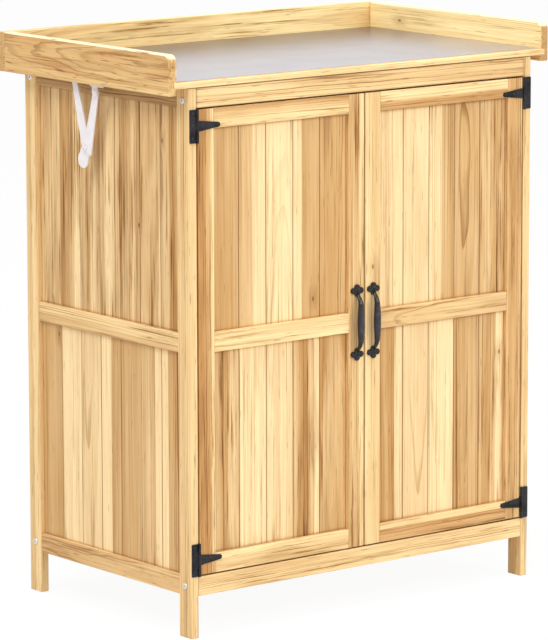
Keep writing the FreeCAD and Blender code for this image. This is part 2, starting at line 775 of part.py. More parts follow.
# Every piece under its own name
pieces = {
    "front_left_post": front_left_post,
    "front_right_post": mirrored(front_left_post),
    "rear_left_post": rear_left_post,
    "rear_right_post": mirrored(rear_left_post),
    "front_top_rail": front_top_rail,
    "front_bottom_rail": front_bottom_rail,
    "rear_top_rail": rear_top_rail,
    "rear_middle_rail": rear_middle_rail,
    "rear_bottom_rail": rear_bottom_rail,
    "left_side_top_rail": left_side_top_rail,
    "left_side_middle_rail": left_side_middle_rail,
    "left_side_bottom_rail": left_side_bottom_rail,
    "right_side_top_rail": mirrored(left_side_top_rail),
    "right_side_middle_rail": mirrored(left_side_middle_rail),
    "right_side_bottom_rail": mirrored(left_side_bottom_rail),
    "left_side_upper_boards": side_upper,
    "left_side_lower_boards": side_lower,
    "right_side_upper_boards": mirrored(side_upper),
    "right_side_lower_boards": mirrored(side_lower),
    "rear_boards": Part.makeCompound([rear_upper, rear_lower]),
    "floor_boards": floor_boards,
    "shelf_boards": shelf_boards,
    "slat_bearers": slat_bearers,
    "cabinet_bolts": cabinet_bolts,
    "door_hinge_plates": door_hinge_plates,
    "door_catches": door_catches,
    "lid_hinge_body_leaves": lid_hinge_body_leaves,
    "stay_wall_pivots": stay_wall_pivots,
    "tray_panel": tray_panel,
    "galvanised_sheet": galvanised_sheet,
    "tray_front_strip": tray_front_strip,
    "tray_left_board": tray_left_board,
    "tray_right_board": mirrored(tray_left_board),
    "tray_back_board": tray_back_board,
    "lid_hinge_lid_leaves": lid_hinge_lid_leaves,
    "stay_lid_plates": stay_lid_plates,
    "left_stay_wall_arm": left_stay_wall_arm,
    "left_stay_lid_arm": left_stay_lid_arm,
    "right_stay_wall_arm": mirrored(left_stay_wall_arm),
    "right_stay_lid_arm": mirrored(left_stay_lid_arm),
}
door_pieces = {
    "hinge_stile": door_hinge_stile,
    "meeting_stile": door_meeting_stile,
    "top_rail": door_top_rail,
    "middle_rail": door_middle_rail,
    "bottom_rail": door_bottom_rail,
    "upper_boards": door_upper,
    "lower_boards": door_lower,
    "hinge_straps": door_hinge_straps,
    "handle": door_handle,
    "strike": door_strike,
}
for name, shape in door_pieces.items():
    pieces["left_door_" + name] = shape
    pieces["right_door_" + name] = mirrored(shape)

os.makedirs("parts", exist_ok=True)
for name, shape in pieces.items():
    settled = shape.copy()
    settled.translate(vec(0, -depth_middle, 0))
    settled.exportStep("parts/" + name + ".step")
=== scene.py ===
import json
import logging
import math
from dataclasses import dataclass, fields, replace
from enum import Enum
from itertools import product

import bmesh
import bpy
from mathutils import Matrix, Vector


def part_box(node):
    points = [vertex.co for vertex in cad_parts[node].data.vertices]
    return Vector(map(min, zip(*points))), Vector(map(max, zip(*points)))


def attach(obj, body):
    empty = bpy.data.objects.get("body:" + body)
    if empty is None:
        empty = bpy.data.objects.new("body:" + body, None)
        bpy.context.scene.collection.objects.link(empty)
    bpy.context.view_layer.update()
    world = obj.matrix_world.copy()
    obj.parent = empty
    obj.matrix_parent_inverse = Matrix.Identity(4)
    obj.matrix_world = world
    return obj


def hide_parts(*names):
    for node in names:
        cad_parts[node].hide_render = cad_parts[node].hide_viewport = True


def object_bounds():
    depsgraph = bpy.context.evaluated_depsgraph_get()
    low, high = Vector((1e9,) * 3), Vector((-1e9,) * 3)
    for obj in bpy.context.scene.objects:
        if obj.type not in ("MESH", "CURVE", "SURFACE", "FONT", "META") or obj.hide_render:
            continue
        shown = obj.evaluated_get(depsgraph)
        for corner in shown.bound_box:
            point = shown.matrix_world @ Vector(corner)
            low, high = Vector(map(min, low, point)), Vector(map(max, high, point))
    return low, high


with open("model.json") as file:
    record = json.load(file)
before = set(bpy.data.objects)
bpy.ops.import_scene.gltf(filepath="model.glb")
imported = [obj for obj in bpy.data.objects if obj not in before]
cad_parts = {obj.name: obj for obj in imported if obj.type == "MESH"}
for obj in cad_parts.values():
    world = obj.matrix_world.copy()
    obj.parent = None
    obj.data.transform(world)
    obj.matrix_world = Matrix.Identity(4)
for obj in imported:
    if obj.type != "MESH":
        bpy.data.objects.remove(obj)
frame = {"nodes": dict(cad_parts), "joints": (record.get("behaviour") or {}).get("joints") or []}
CAD_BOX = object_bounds()

LOG = logging.getLogger("cabinet")
MM = 0.001
FORWARD, REARWARD, UPWARD = Vector((0, -1, 0)), Vector((0, 1, 0)), Vector((0, 0, 1))
Colour = tuple[float, float, float]
Pair = tuple[float, float]
Outline = tuple[Pair, ...]


def paint(red: int, green: int, blue: int) -> Colour:
    """Turn a screen colour into the linear colour that shaders use.

    Args:
        red: Red from 0 to 255.
        green: Green from 0 to 255.
        blue: Blue from 0 to 255.

    Returns:
        The three linear shares.
    """
    shares = [level / 255 for level in (red, green, blue)]
    return tuple(s / 12.92 if s <= 0.04045 else ((s + 0.055) / 1.055) ** 2.4 for s in shares)


class Grain(Enum):
    """Direction in which the fibres of a piece run, as (across, deep, along) axes."""

    UP_FACING_FRONT = ("X", "Y", "Z")
    UP_FACING_SIDE = ("Y", "X", "Z")
    SIDEWAYS_UPRIGHT = ("Z", "Y", "X")
    SIDEWAYS_FLAT = ("Y", "Z", "X")
    REARWARD_UPRIGHT = ("Z", "X", "Y")


class Tone(Enum):
    """Depth of colour of a piece of softwood."""

    PALE = 0.08
    CREAM = 0.22
    HONEY = 0.42
    AMBER = 0.60
    TAN = 0.78
    BROWN = 0.94


class Cut(Enum):
    """How a board was sawn from the log, from straight lines to arches."""

    QUARTER = 0.0
    RIFT = 0.45
    FLAT = 1.0


class Sapwood(Enum):
    """Which edge of a board is pale sapwood, and how much of its width that takes.

    Sapwood at the low edge ends at twice the value, and at the high edge it starts at twice the value
    less one, as shares of the width.
    """

    NONE = 0.0
    LOW_THIRD = 0.16
    LOW_HALF = 0.25
    HIGH_EDGE = 0.90
    HIGH_THIRD = 0.84
    HIGH_HALF = 0.75


class Figure(Enum):
    """How strongly the rings and streaks of a board show."""

    CALM = 0.25
    PLAIN = 0.55
    LIVELY = 1.0
    WILD = 1.3


@dataclass(frozen=True)
class Stock:
    """One board or member as it is picked from the pile."""

    tone: Tone = Tone.HONEY
    cut: Cut = Cut.RIFT
    sapwood: Sapwood = Sapwood.NONE
    figure: Figure = Figure.PLAIN

    def choices(self) -> tuple[float, float, float, float]:
        """The four choices as one colour with alpha, which a ramp can carry."""
        return (self.tone.value, self.sapwood.value, self.cut.value, self.figure.value)


def pick(boards: str) -> list[Stock]:
    """Pick boards from the pile by what each is called, such as "tan rift high_third lively".

    Args:
        boards: The boards with commas between them. Each names its options of Tone, Cut, Sapwood
            and Figure, and keeps the usual one of those that it leaves out.

    Returns:
        The boards in the same order.
    """
    options = {item.name.lower(): item for kind in (Tone, Cut, Sapwood, Figure) for item in kind}
    named = [[options[word] for word in board.split()] for board in boards.split(",")]
    return [Stock(**{type(item).__name__.lower(): item for item in items}) for items in named]


@dataclass(frozen=True)
class Term:
    """Output of a node that can be reckoned with by the usual signs."""

    graph: "Graph"
    socket: bpy.types.NodeSocket

    def __add__(self, other: "Value") -> "Term":
        """This and the other together."""
        return self.graph.math("ADD", self, other)

    def __sub__(self, other: "Value") -> "Term":
        """This less the other."""
        return self.graph.math("SUBTRACT", self, other)

    def __rsub__(self, other: "Value") -> "Term":
        """The other less this."""
        return self.graph.math("SUBTRACT", other, self)

    def __mul__(self, other: "Value") -> "Term":
        """This times the other."""
        return self.graph.math("MULTIPLY", self, other)

    def __truediv__(self, other: "Value") -> "Term":
        """This divided by the other."""
        return self.graph.math("DIVIDE", self, other)

    def __rtruediv__(self, other: "Value") -> "Term":
        """The other divided by this."""
        return self.graph.math("DIVIDE", other, self)


Value = Term | bpy.types.NodeSocket | float | tuple[float, ...]


class Graph:
    """Adds nodes to one tree and joins them."""

    def __init__(self, tree: bpy.types.NodeTree) -> None:
        """Keep the tree that the nodes go into."""
        self.tree = tree

    def add(self, kind: str, **settings: object) -> bpy.types.Node:
        """Add one node.

        Args:
            kind: Type name of the node.
            **settings: Values of the node's own properties.

        Returns:
            The new node.
        """
        node = self.tree.nodes.new(kind)
        for name, value in settings.items():
            setattr(node, name, value)
        return node

    def feed(self, socket: bpy.types.NodeSocket, value: Value | None) -> None:
        """Link a socket to an output, or set its constant.

        Args:
            socket: Input to fill.
            value: Output, number or tuple. None leaves the socket alone.
        """
        if isinstance(value, Term):
            value = value.socket
        if isinstance(value, bpy.types.NodeSocket):
            self.tree.links.new(value, socket)
        elif isinstance(value, tuple) and socket.type == "RGBA" and len(value) == 3:
            socket.default_value = (*value, 1.0)
        elif value is not None:
            socket.default_value = value

    def step(self, kind: str, feeds: dict[int | str, Value | None], out: int | str = 0,
             **settings: object) -> Term:
        """Add one node and feed it.

        Args:
            kind: Type name of the node.
            feeds: What goes into each input, by its number or name.
            out: Number or name of the output to give back.
            **settings: Values of the node's own properties.

        Returns:
            That output.
        """
        node = self.add(kind, **settings)
        for key, value in feeds.items():
            self.feed(node.inputs[key], value)
        return Term(self, node.outputs[out])

    def split(self, kind: str, value: Value) -> list[Term]:
        """All the outputs of a node of some kind that splits a value."""
        outputs = self.step(kind, {0: value}).socket.node.outputs
        return [Term(self, output) for output in outputs]

    def math(self, operation: str, first: Value, second: Value | None = None) -> Term:
        """One arithmetic step by the name of its operation, on one number or two."""
        return self.step("ShaderNodeMath", {0: first, 1: second}, operation=operation)

    def clamp(self, value: Value) -> Term:
        """A number kept between 0 and 1."""
        return self.math("MINIMUM", self.math("MAXIMUM", value, 0.0), 1.0)

    def length(self, first: Term, second: Term) -> Term:
        """Length of the straight line that goes so far one way and so far across it."""
        return self.math("SQRT", first * first + second * second)

    def spread(self, value: Value, low: Value, high: Value, to_low: float = 0.0,
               to_high: float = 1.0) -> Term:
        """Map a range smoothly onto another.

        Args:
            value: Number to map.
            low: Start of its range.
            high: End of its range.
            to_low: Result at the start.
            to_high: Result at the end.

        Returns:
            The mapped number.
        """
        feeds = {"Value": value, "From Min": low, "From Max": high, "To Min": to_low, "To Max": to_high}
        return self.step("ShaderNodeMapRange", feeds, interpolation_type="SMOOTHSTEP")

    def blend(self, share: Value, first: Value, second: Value, mode: str = "MIX") -> Term:
        """Mix two colours.

        Args:
            share: How much of the second colour shows.
            first: Colour at share 0.
            second: Colour at share 1.
            mode: Name of the blending mode.

        Returns:
            The mixed colour.
        """
        # A mix node takes its colours at 6 and 7 and gives one at 2. Its numbers go in at 2 and 3
        return self.step("ShaderNodeMix", {0: share, 6: first, 7: second}, 2, data_type="RGBA",
                         blend_type=mode)

    def lerp(self, share: Value, first: Value, second: Value) -> Term:
        """Mix two numbers, with the first at share 0 and the second at share 1."""
        return self.step("ShaderNodeMix", {0: share, 2: first, 3: second}, data_type="FLOAT")

    def vector(self, x: Value, y: Value, z: Value) -> Term:
        """Join three numbers into a vector."""
        return self.step("ShaderNodeCombineXYZ", {0: x, 1: y, 2: z})

    def parts(self, vector: Value) -> list[Term]:
        """Split a vector into its three numbers."""
        return self.split("ShaderNodeSeparateXYZ", vector)

    def channels(self, colour: Value) -> list[Term]:
        """Split a colour into its three channels."""
        return self.split("ShaderNodeSeparateColor", colour)

    def noise(self, vector: Value, detail: float = 2.0, rough: float = 0.5, scale: float = 1.0) -> Term:
        """Cloudy noise over a vector.

        Args:
            vector: Where the noise is read.
            detail: Octaves of finer noise.
            rough: Strength of the finer octaves.
            scale: Waves in each unit.

        Returns:
            The noise value, mostly between 0.3 and 0.7.
        """
        feeds = {"Vector": vector, "Scale": scale, "Detail": detail, "Roughness": rough}
        return self.step("ShaderNodeTexNoise", feeds, "Fac", noise_dimensions="3D")

    def chance(self, x: Value, y: Value, z: Value) -> list[Term]:
        """Three random numbers from 0 to 1 that depend on three numbers."""
        feeds = {"Vector": self.vector(x, y, z)}
        return self.channels(self.step("ShaderNodeTexWhiteNoise", feeds, "Color", noise_dimensions="3D"))


class EffectGroup:
    """Shader node group that materials share, with named inputs and outputs."""

    def __init__(self, name: str, vectors: tuple[str, ...], colours: tuple[str, ...],
                 numbers: tuple[str, ...]) -> None:
        """Start the group with its sockets.

        Args:
            name: Name of the group.
            vectors: Inputs that take a vector.
            colours: Inputs that take a colour.
            numbers: Inputs that take a number.
        """
        self.tree = bpy.data.node_groups.new(name, "ShaderNodeTree")
        self.graph = Graph(self.tree)
        for way, kind, labels in (
            ("INPUT", "Vector", vectors), ("INPUT", "Color", colours), ("INPUT", "Float", numbers),
            ("OUTPUT", "Color", ("Color",)), ("OUTPUT", "Float", ("Roughness", "Height")),
        ):
            for label in labels:
                self.tree.interface.new_socket(label, in_out=way, socket_type="NodeSocket" + kind)
        sockets = self.graph.add("NodeGroupInput").outputs
        self.given = {label: Term(self.graph, sockets[label]) for label in (*vectors, *colours, *numbers)}

    def give(self, colour: Value, roughness: Value, height: Value) -> None:
        """Close the group.

        Args:
            colour: Colour that it puts out.
            roughness: Roughness that it puts out.
            height: Relief that it puts out.
        """
        out = self.graph.add("NodeGroupOutput").inputs
        for label, value in (("Color", colour), ("Roughness", roughness), ("Height", height)):
            self.graph.feed(out[label], value)


class Softwood(EffectGroup):
    """Softwood in the solid: growth rings round a pith, sapwood, fibres, flecks and knots."""

    # Knots: the stretch of board that may hold one, its place, its fading core and the wood round it
    log_shift: float = 9.0
    knot_stretch: float = 270 * MM
    knot_wander: float = 50 * MM
    knot_long: float = 0.5
    knot_core: Pair = (0.6 * MM, 3.0 * MM)
    knot_flare: float = 17 * MM
    knot_push: float = 8 * MM

    # Pith, sway and lean. Of two values, the first is a quarter sawn board's, the second a flat sawn one's
    pith_beside: float = 150 * MM
    pith_beside_wander: float = 24 * MM
    pith_behind: Pair = (30 * MM, 35 * MM)
    pith_behind_wander: float = 40 * MM
    pith_lean: Pair = (0.010, 0.060)
    sway_side: float = 14 * MM
    sway_deep: Pair = (8 * MM, 24 * MM)

    # Rings: how far they ripple in a plain and a wild board, and how dark late wood comes and goes
    ripple_figure: Pair = (0.6, 1.3)
    ripple_high: Pair = (3 * MM, 9 * MM)
    pace_strength: float = 7.0
    late_comes: Pair = (0.52, 0.92)
    late_goes: Pair = (0.93, 1.0)
    year_strength: Pair = (0.10, 1.25)
    clear_strength: Pair = (0.15, 1.0)
    calm_strength: float = 0.45

    # Colour: how far bands and patches change its depth, and how strongly each thing shows in it
    band_change: float = 0.30
    patch_change: float = 0.55
    patch_scale: float = 2.3
    sap_blur: float = 0.012
    sap_sway: float = 0.10
    sap_strength: float = 0.88
    smoke_strength: float = 0.42
    streak_strength: float = 0.78
    flare_strength: float = 0.36
    fleck_strength: float = 0.8
    core_strength: float = 0.85
    fibre_colours: tuple[Pair, ...] = ((0.90, 1.04), (0.85, 1.06), (0.79, 1.09))

    # Waves in each metre, across and along the fibres
    sway_waves: Pair = (9.0, 1.6)
    ripple_waves: Pair = (45.0, 7.0)
    streak_waves: Pair = (190.0, 4.2)
    fibre_waves: Pair = (380.0, 5.0)
    fleck_waves: Pair = (330.0, 26.0)
    haze_waves: Pair = (30.0, 3.2)
    heart_waves: Pair = (46.0, 0.45)
    clear_waves: Pair = (30.0, 2.2)
    pace_waves: float = 48.0

    # Painted shade, partly dirt, in the joints between boards and where their ends enter the frame
    joint_dark: Pair = (0.5 * MM, 1.8 * MM)
    end_dust: float = 5 * MM

    def __init__(self) -> None:
        """Find which board a point is on and where, then shade it."""
        super().__init__(
            "softwood in the solid", ("Place", "Facing"),
            ("Stock", "Sawn", "Crest", "Pale", "Deep", "Late", "Knot"),
            ("Figure", "First Edge", "Pitch", "Lot", "Low End", "High End", "Joint Shade", "Ring Width",
             "Ring Strength", "Knots", "Flecks", "Streaks", "End Share", "Top Share"))
        graph, given = self.graph, self.given
        across, self.deep, self.along = graph.parts(given["Place"])
        self.tone, self.sap, self.cut = graph.channels(given["Stock"])
        share = (across - given["First Edge"]) / given["Pitch"]
        self.index = graph.math("FLOOR", share)
        self.cell = share - self.index
        self.middle = (self.cell - 0.5) * given["Pitch"]
        self.luck = (graph.chance(self.index, given["Lot"], 1.0)
                     + graph.chance(self.index, given["Lot"], 2.0))
        self.run = self.along + self.luck[0] * self.log_shift
        self.slow = self._stretched(self.sway_waves)
        self.sway = graph.noise(self.slow) - 0.5
        self.haze = graph.noise(graph.vector(self.middle * self.haze_waves[0], given["Lot"],
                                             self.run * self.haze_waves[1]), 3.0, 0.6)
        self.fibre = graph.noise(self._stretched(self.fibre_waves), 3.0, 0.65)
        flare, core = self._knots()
        radius = self._radius(flare)
        late = self._late_wood(radius)
        heart = self._heartwood(radius)
        shade = self._stained(heart, late, flare)
        shade = self._finished(shade, core)
        self.give(shade, late * -0.12 + graph.spread(self.fibre, 0.3, 0.7, 0.50, 0.62),
                  self.fibre * 0.5 - late * 0.5)

    def _stretched(self, waves: Pair) -> Term:
        """The point in units that are longer along the fibres."""
        return self.graph.vector(self.middle * waves[0], self.deep * waves[0], self.run * waves[1])

    def _knots(self) -> tuple[Term, Term]:
        """One chance of a knot in each stretch of a board.

        Returns:
            The disturbed wood round the knot, and its dark core.
        """
        graph, given = self.graph, self.given
        stretch = self.run / self.knot_stretch
        step = graph.math("FLOOR", stretch)
        luck = graph.chance(self.index, step, given["Lot"])
        rest = stretch - step - 0.5
        knot_along = (rest - (luck[0] - 0.5) * 0.5) * (self.knot_stretch * self.knot_long)
        wide = graph.math("MINIMUM", given["Pitch"], self.knot_wander)
        gap = graph.length(knot_along, self.middle - (luck[1] - 0.5) * wide)
        there = graph.math("LESS_THAN", luck[2], given["Knots"])
        return (graph.spread(gap, 0.0, self.knot_flare, 1.0, 0.0) * there,
                graph.spread(gap, *self.knot_core, 1.0, 0.0) * there)

    def _radius(self, flare: Term) -> Term:
        """Distance from a pith that lies beside or behind the board and leans along it.

        Args:
            flare: Where a knot pushes the rings aside.

        Returns:
            The distance, with the log's sway and ripples in it.
        """
        graph, cut, luck = self.graph, self.cut, self.luck
        ripple = graph.noise(self._stretched(self.ripple_waves)) - 0.5
        beside = graph.math("SIGN", luck[3] - 0.5) * self.pith_beside
        pith_side = graph.lerp(cut, beside, (luck[1] - 0.5) * self.pith_beside_wander)
        behind = luck[2] * self.pith_behind_wander + self.pith_behind[1]
        pith_deep = graph.lerp(cut, self.pith_behind[0], behind)
        lean = (luck[4] - 0.5) * graph.lerp(cut, *self.pith_lean)
        from_side = self.middle - pith_side + self.sway * self.sway_side
        from_deep = self.deep + pith_deep + self.along * lean + self.sway * graph.lerp(cut, *self.sway_deep)
        wave = graph.spread(self.given["Figure"], *self.ripple_figure, *self.ripple_high)
        return graph.length(from_side, from_deep) + ripple * wave + flare * self.knot_push

    def _late_wood(self, radius: Term) -> Term:
        """Dark late wood of the rings, some years stronger and clearer than others.

        Args:
            radius: Distance from the pith.

        Returns:
            How dark the ring is.
        """
        graph, given = self.graph, self.given
        pace = graph.noise(graph.vector(radius * self.pace_waves, self.index, given["Lot"]), 1.0)
        turns = radius / given["Ring Width"] + pace * self.pace_strength
        turn = graph.math("FRACT", turns)
        late = graph.spread(turn, *self.late_comes) * graph.spread(turn, *self.late_goes, 1.0, 0.0)
        year = graph.chance(graph.math("FLOOR", turns), self.index, given["Lot"])[0]
        late = late * graph.spread(year, 0.15, 1.0, *self.year_strength)
        clear = graph.noise(graph.vector(radius * self.clear_waves[0], self.index,
                                         self.run * self.clear_waves[1]))
        late = late * graph.spread(clear, 0.34, 0.62, *self.clear_strength)
        lively = graph.spread(given["Figure"], 0.0, 1.0, self.calm_strength, 1.0)
        return late * (given["Ring Strength"] * lively)

    def _heartwood(self, radius: Term) -> Term:
        """Heartwood and sapwood, which meet on a crisp line with slow changes on both sides of it.

        Args:
            radius: Distance from the pith.

        Returns:
            How deep the colour is.
        """
        graph, given = self.graph, self.given
        band = graph.noise(graph.vector(radius * self.heart_waves[0], given["Lot"],
                                        self.run * self.heart_waves[1]), 2.0, 0.6)
        band = graph.spread(band, 0.36, 0.64, -self.band_change, self.band_change) * given["Figure"]
        patch = graph.noise(self.slow, 2.0, 0.6, self.patch_scale) - 0.5
        heart = self.tone + band + patch * self.patch_change
        edge = self.cell + self.sway * self.sap_sway
        twice = self.sap * 2.0
        inside = [graph.spread(inset, -self.sap_blur, self.sap_blur) * graph.math(test, self.sap, 0.5)
                  for inset, test in ((twice - edge, "LESS_THAN"), (edge - (twice - 1.0), "GREATER_THAN"))]
        pale = graph.math("MAXIMUM", *inside) * graph.math("GREATER_THAN", self.sap, 0.01)
        return graph.clamp(graph.lerp(pale * self.sap_strength, heart, patch * 0.3))

    def _stained(self, heart: Term, late: Term, flare: Term) -> Term:
        """Colour of the wood itself, from its depth to its streaks.

        Args:
            heart: How deep the colour is.
            late: How dark the ring is.
            flare: Disturbed wood round a knot.

        Returns:
            The colour.
        """
        graph, given, figure = self.graph, self.given, self.given["Figure"]
        smoke = graph.spread(self.haze, 0.46, 0.68) * graph.spread(figure, 0.5, 1.0, 0.15, 1.0)
        streak = graph.spread(graph.noise(self._stretched(self.streak_waves), 4.0, 0.68), 0.52, 0.65)
        streak = streak * graph.spread(self.haze, 0.36, 0.58, 0.35, 1.25) * figure * given["Streaks"]
        shade = graph.blend(heart, given["Pale"], given["Deep"])
        for share in (late * (heart * 0.40 + 0.75), smoke * self.smoke_strength,
                      streak * self.streak_strength, flare * self.flare_strength):
            shade = graph.blend(share, shade, given["Late"], "MULTIPLY")
        return shade

    def _finished(self, shade: Term, core: Term) -> Term:
        """Add end grain, a painted highlight on tops, dashes, fibres, knots and dirt with painted shade at
        joints.

        Args:
            shade: Colour of the wood itself.
            core: Dark core of a knot.

        Returns:
            The colour with all of them.
        """
        graph, given, cell = self.graph, self.given, self.cell
        facing = graph.parts(given["Facing"])
        end = graph.spread(graph.math("ABSOLUTE", facing[2]), 0.6, 0.8)
        # Faces turned up the across axis, the tops of tray boards, get a painted highlight
        top = graph.spread(facing[0], 0.3, 0.6)
        sparse = graph.spread(given["Flecks"], 0.0, 1.0, 0.73, 0.63)
        dash = graph.noise(self._stretched(self.fleck_waves), 1.0)
        fleck = graph.spread(dash, sparse, sparse + 0.07) * given["Flecks"]
        # Darkening along board joints and near board ends: partly dirt, partly painted shade
        to_edge = graph.math("MINIMUM", cell, 1.0 - cell) * given["Pitch"]
        to_end = graph.math("MINIMUM", self.along - given["Low End"], given["High End"] - self.along)
        joint_shade_and_dirt = graph.math("MAXIMUM", graph.spread(to_edge, *self.joint_dark, 1.0, 0.0),
                            graph.spread(to_end, 0.0, self.end_dust, 0.8, 0.0))
        thread = graph.vector(*(graph.spread(self.fibre, 0.30, 0.70, *ends) for ends in self.fibre_colours))
        shade = graph.blend(end * given["End Share"], shade, given["Sawn"])
        shade = graph.blend(top * given["Top Share"], shade, given["Crest"])
        shade = graph.blend(fleck * self.fleck_strength, shade, given["Knot"])
        shade = graph.blend(1.0, shade, thread, "MULTIPLY")
        shade = graph.blend(core * self.core_strength, shade, given["Knot"])
        return graph.blend(joint_shade_and_dirt * given["Joint Shade"], shade, given["Knot"])


class MottledSkin(EffectGroup):
    """Uneven colour, gloss and fine relief of a coated or cast metal skin."""

    def __init__(self) -> None:
        """Build the group."""
        super().__init__("mottled skin", ("Place",), ("Base", "Cloud", "Rear"),
                         ("Cloud Size", "Grit Size", "Gloss Low", "Gloss High", "Rear From", "Rear To"))
        graph, given = self.graph, self.given
        cloud = graph.noise(self._in_units_of("Cloud Size"), 3.0)
        skin = graph.blend(graph.spread(cloud, 0.35, 0.65), given["Base"], given["Cloud"])
        # Towards the back the skin turns to the rear colour: painted shade on the galvanised sheet, and a
        # painted highlight left on the front of the iron pull
        behind = graph.spread(graph.parts(given["Place"])[1], given["Rear From"], given["Rear To"])
        gloss = graph.lerp(graph.spread(cloud, 0.3, 0.7), given["Gloss Low"], given["Gloss High"])
        grit = graph.noise(self._in_units_of("Grit Size"))
        self.give(graph.blend(behind, skin, given["Rear"]), gloss, grit)

    def _in_units_of(self, size: str) -> Term:
        """The point, counted in one of the sizes that are given."""
        feeds = {0: self.given["Place"], "Scale": 1.0 / self.given[size]}
        return self.graph.step("ShaderNodeVectorMath", feeds, operation="SCALE")


@dataclass(frozen=True, kw_only=True)
class Finish:
    """What every finish has: a fine relief, and how it mirrors light."""

    bump: float = 0.05
    bump_deep: float = 0.3 * MM
    metallic: float = 0.0
    specular: float = 0.3

    def start(self, effect: EffectGroup,
              name: str) -> tuple[bpy.types.Material, Graph, dict[str, bpy.types.NodeSocket]]:
        """Make a material with a shared effect, which takes what the finish has a field for.

        Args:
            effect: Shared effect that feeds the shader.
            name: Name of the material.

        Returns:
            The material, its graph and the effect's inputs by name.
        """
        material = bpy.data.materials.new(name)
        material.use_nodes = True
        graph = Graph(material.node_tree)
        shader = material.node_tree.nodes["Principled BSDF"]
        group = graph.add("ShaderNodeGroup", node_tree=effect.tree)
        inputs = {socket.name: socket for socket in group.inputs}
        for item in fields(self):
            label = item.name.replace("_", " ").title()
            if label in inputs:
                graph.feed(inputs[label], getattr(self, item.name))
        out = group.outputs
        bump = graph.step("ShaderNodeBump", {"Strength": self.bump, "Distance": self.bump_deep,
                                             "Height": out["Height"]})
        for label, value in (("Base Color", out["Color"]), ("Roughness", out["Roughness"]), ("Normal", bump),
                             ("Metallic", self.metallic), ("Specular IOR Level", self.specular)):
            graph.feed(shader.inputs[label], value)
        return material, graph, inputs


@dataclass(frozen=True, kw_only=True)
class TimberFinish(Finish):
    """Softwood under a clear stain: its colours and how lively its figure is."""

    pale: Colour
    deep: Colour
    late: Colour = paint(180, 151, 101)
    knot: Colour = paint(112, 60, 24)
    sawn: Colour = paint(176, 128, 76)
    # Colour of the painted highlight on the tops of boards
    crest: Colour = paint(255, 238, 200)
    ring_width: float
    ring_strength: float
    knots: float
    flecks: float
    streaks: float
    # Darkening at joints and board ends: partly dirt, partly painted shade
    joint_shade: float = 0.0
    end_share: float = 0.5
    # How much of that painted highlight shows
    top_share: float = 0.0

    def material(self, effect: EffectGroup, name: str, grain: Grain, stocks: list[Stock],
                 row: Pair, face: float, ends: Pair,
                 lot: float) -> bpy.types.Material:
        """Material of one piece, or of a row of boards side by side.

        Args:
            effect: Group that holds the figure of the wood.
            name: Name of the material.
            grain: Way the fibres run.
            stocks: What each board is, in the order of the across axis.
            row: Places of the first board's and the last board's outer edges on the across axis.
            face: Place of the shown face on the deep axis.
            ends: Where the shown length starts and stops on the along axis.
            lot: Number of the log that the boards come from.

        Returns:
            The finished material.
        """
        material, graph, inputs = self.start(effect, name)
        source = graph.add("ShaderNodeTexCoord").outputs
        places = dict(zip("XYZ", graph.parts(source["Object"])))
        facings = dict(zip("XYZ", graph.parts(source["Normal"])))
        across, deep, along = grain.value
        wide = row[1] - row[0]
        feeds = {
            "Place": graph.vector(places[across], places[deep] - face, places[along]),
            "Facing": graph.vector(facings[across], facings[deep], facings[along]),
            "First Edge": row[0], "Pitch": wide / len(stocks), "Low End": ends[0], "High End": ends[1],
            "Lot": lot, "Stock": stocks[0].choices(), "Figure": stocks[0].figure.value,
        }
        if len(stocks) > 1:
            ramp = graph.add("ShaderNodeValToRGB")
            ramp.color_ramp.interpolation = "CONSTANT"
            stops = ramp.color_ramp.elements
            stops[1].position = 1.0 / len(stocks)
            for order in range(2, len(stocks)):
                stops.new(order / len(stocks))
            for stop, stock in zip(stops, stocks):
                stop.color = stock.choices()
            graph.feed(ramp.inputs[0], (places[across] - row[0]) / wide)
            feeds |= {"Stock": ramp.outputs[0], "Figure": ramp.outputs[1]}
        for label, value in feeds.items():
            graph.feed(inputs[label], value)
        return material


@dataclass(frozen=True, kw_only=True)
class MetalFinish(Finish):
    """Coated, cast, galvanised or plated skin."""

    base: Colour
    cloud: Colour
    gloss_low: float
    gloss_high: float
    cloud_size: float = 20 * MM
    grit_size: float = 0.8 * MM
    bump: float = 0.0
    bump_deep: float = 0.2 * MM
    specular: float = 0.5
    rear: Colour = paint(128, 128, 128)
    rear_from: float = 8.0
    rear_to: float = 9.0

    def material(self, effect: EffectGroup, name: str) -> bpy.types.Material:
        """Material of every piece with this skin.

        Args:
            effect: Group that holds the mottle.
            name: Name of the material.

        Returns:
            The finished material.
        """
        material, graph, inputs = self.start(effect, name)
        graph.feed(inputs["Place"], graph.add("ShaderNodeTexCoord").outputs["Object"])
        return material


FRAME_TIMBER = TimberFinish(pale=paint(255, 225, 167), deep=paint(204, 153, 92), ring_width=3.4 * MM,
                            ring_strength=1.0, knots=0.03, flecks=0.6, streaks=1.2)
# Its joint shade darkens the seams and board ends with dirt and painted shade
BOARD_TIMBER = TimberFinish(pale=paint(255, 226, 173), deep=paint(200, 152, 90), ring_width=5.0 * MM,
                            ring_strength=1.05, knots=0.08, flecks=0.5, streaks=1.2, joint_shade=0.52)
TRAY_TIMBER = TimberFinish(pale=paint(255, 230, 168), deep=paint(212, 158, 90), ring_width=3.6 * MM,
                           ring_strength=0.6, knots=0.3, flecks=0.55, streaks=1.1)
BLACK_STEEL = MetalFinish(base=paint(15, 14, 15), cloud=paint(42, 39, 43), gloss_low=0.24,
                          gloss_high=0.34, bump=0.15, specular=0.26)
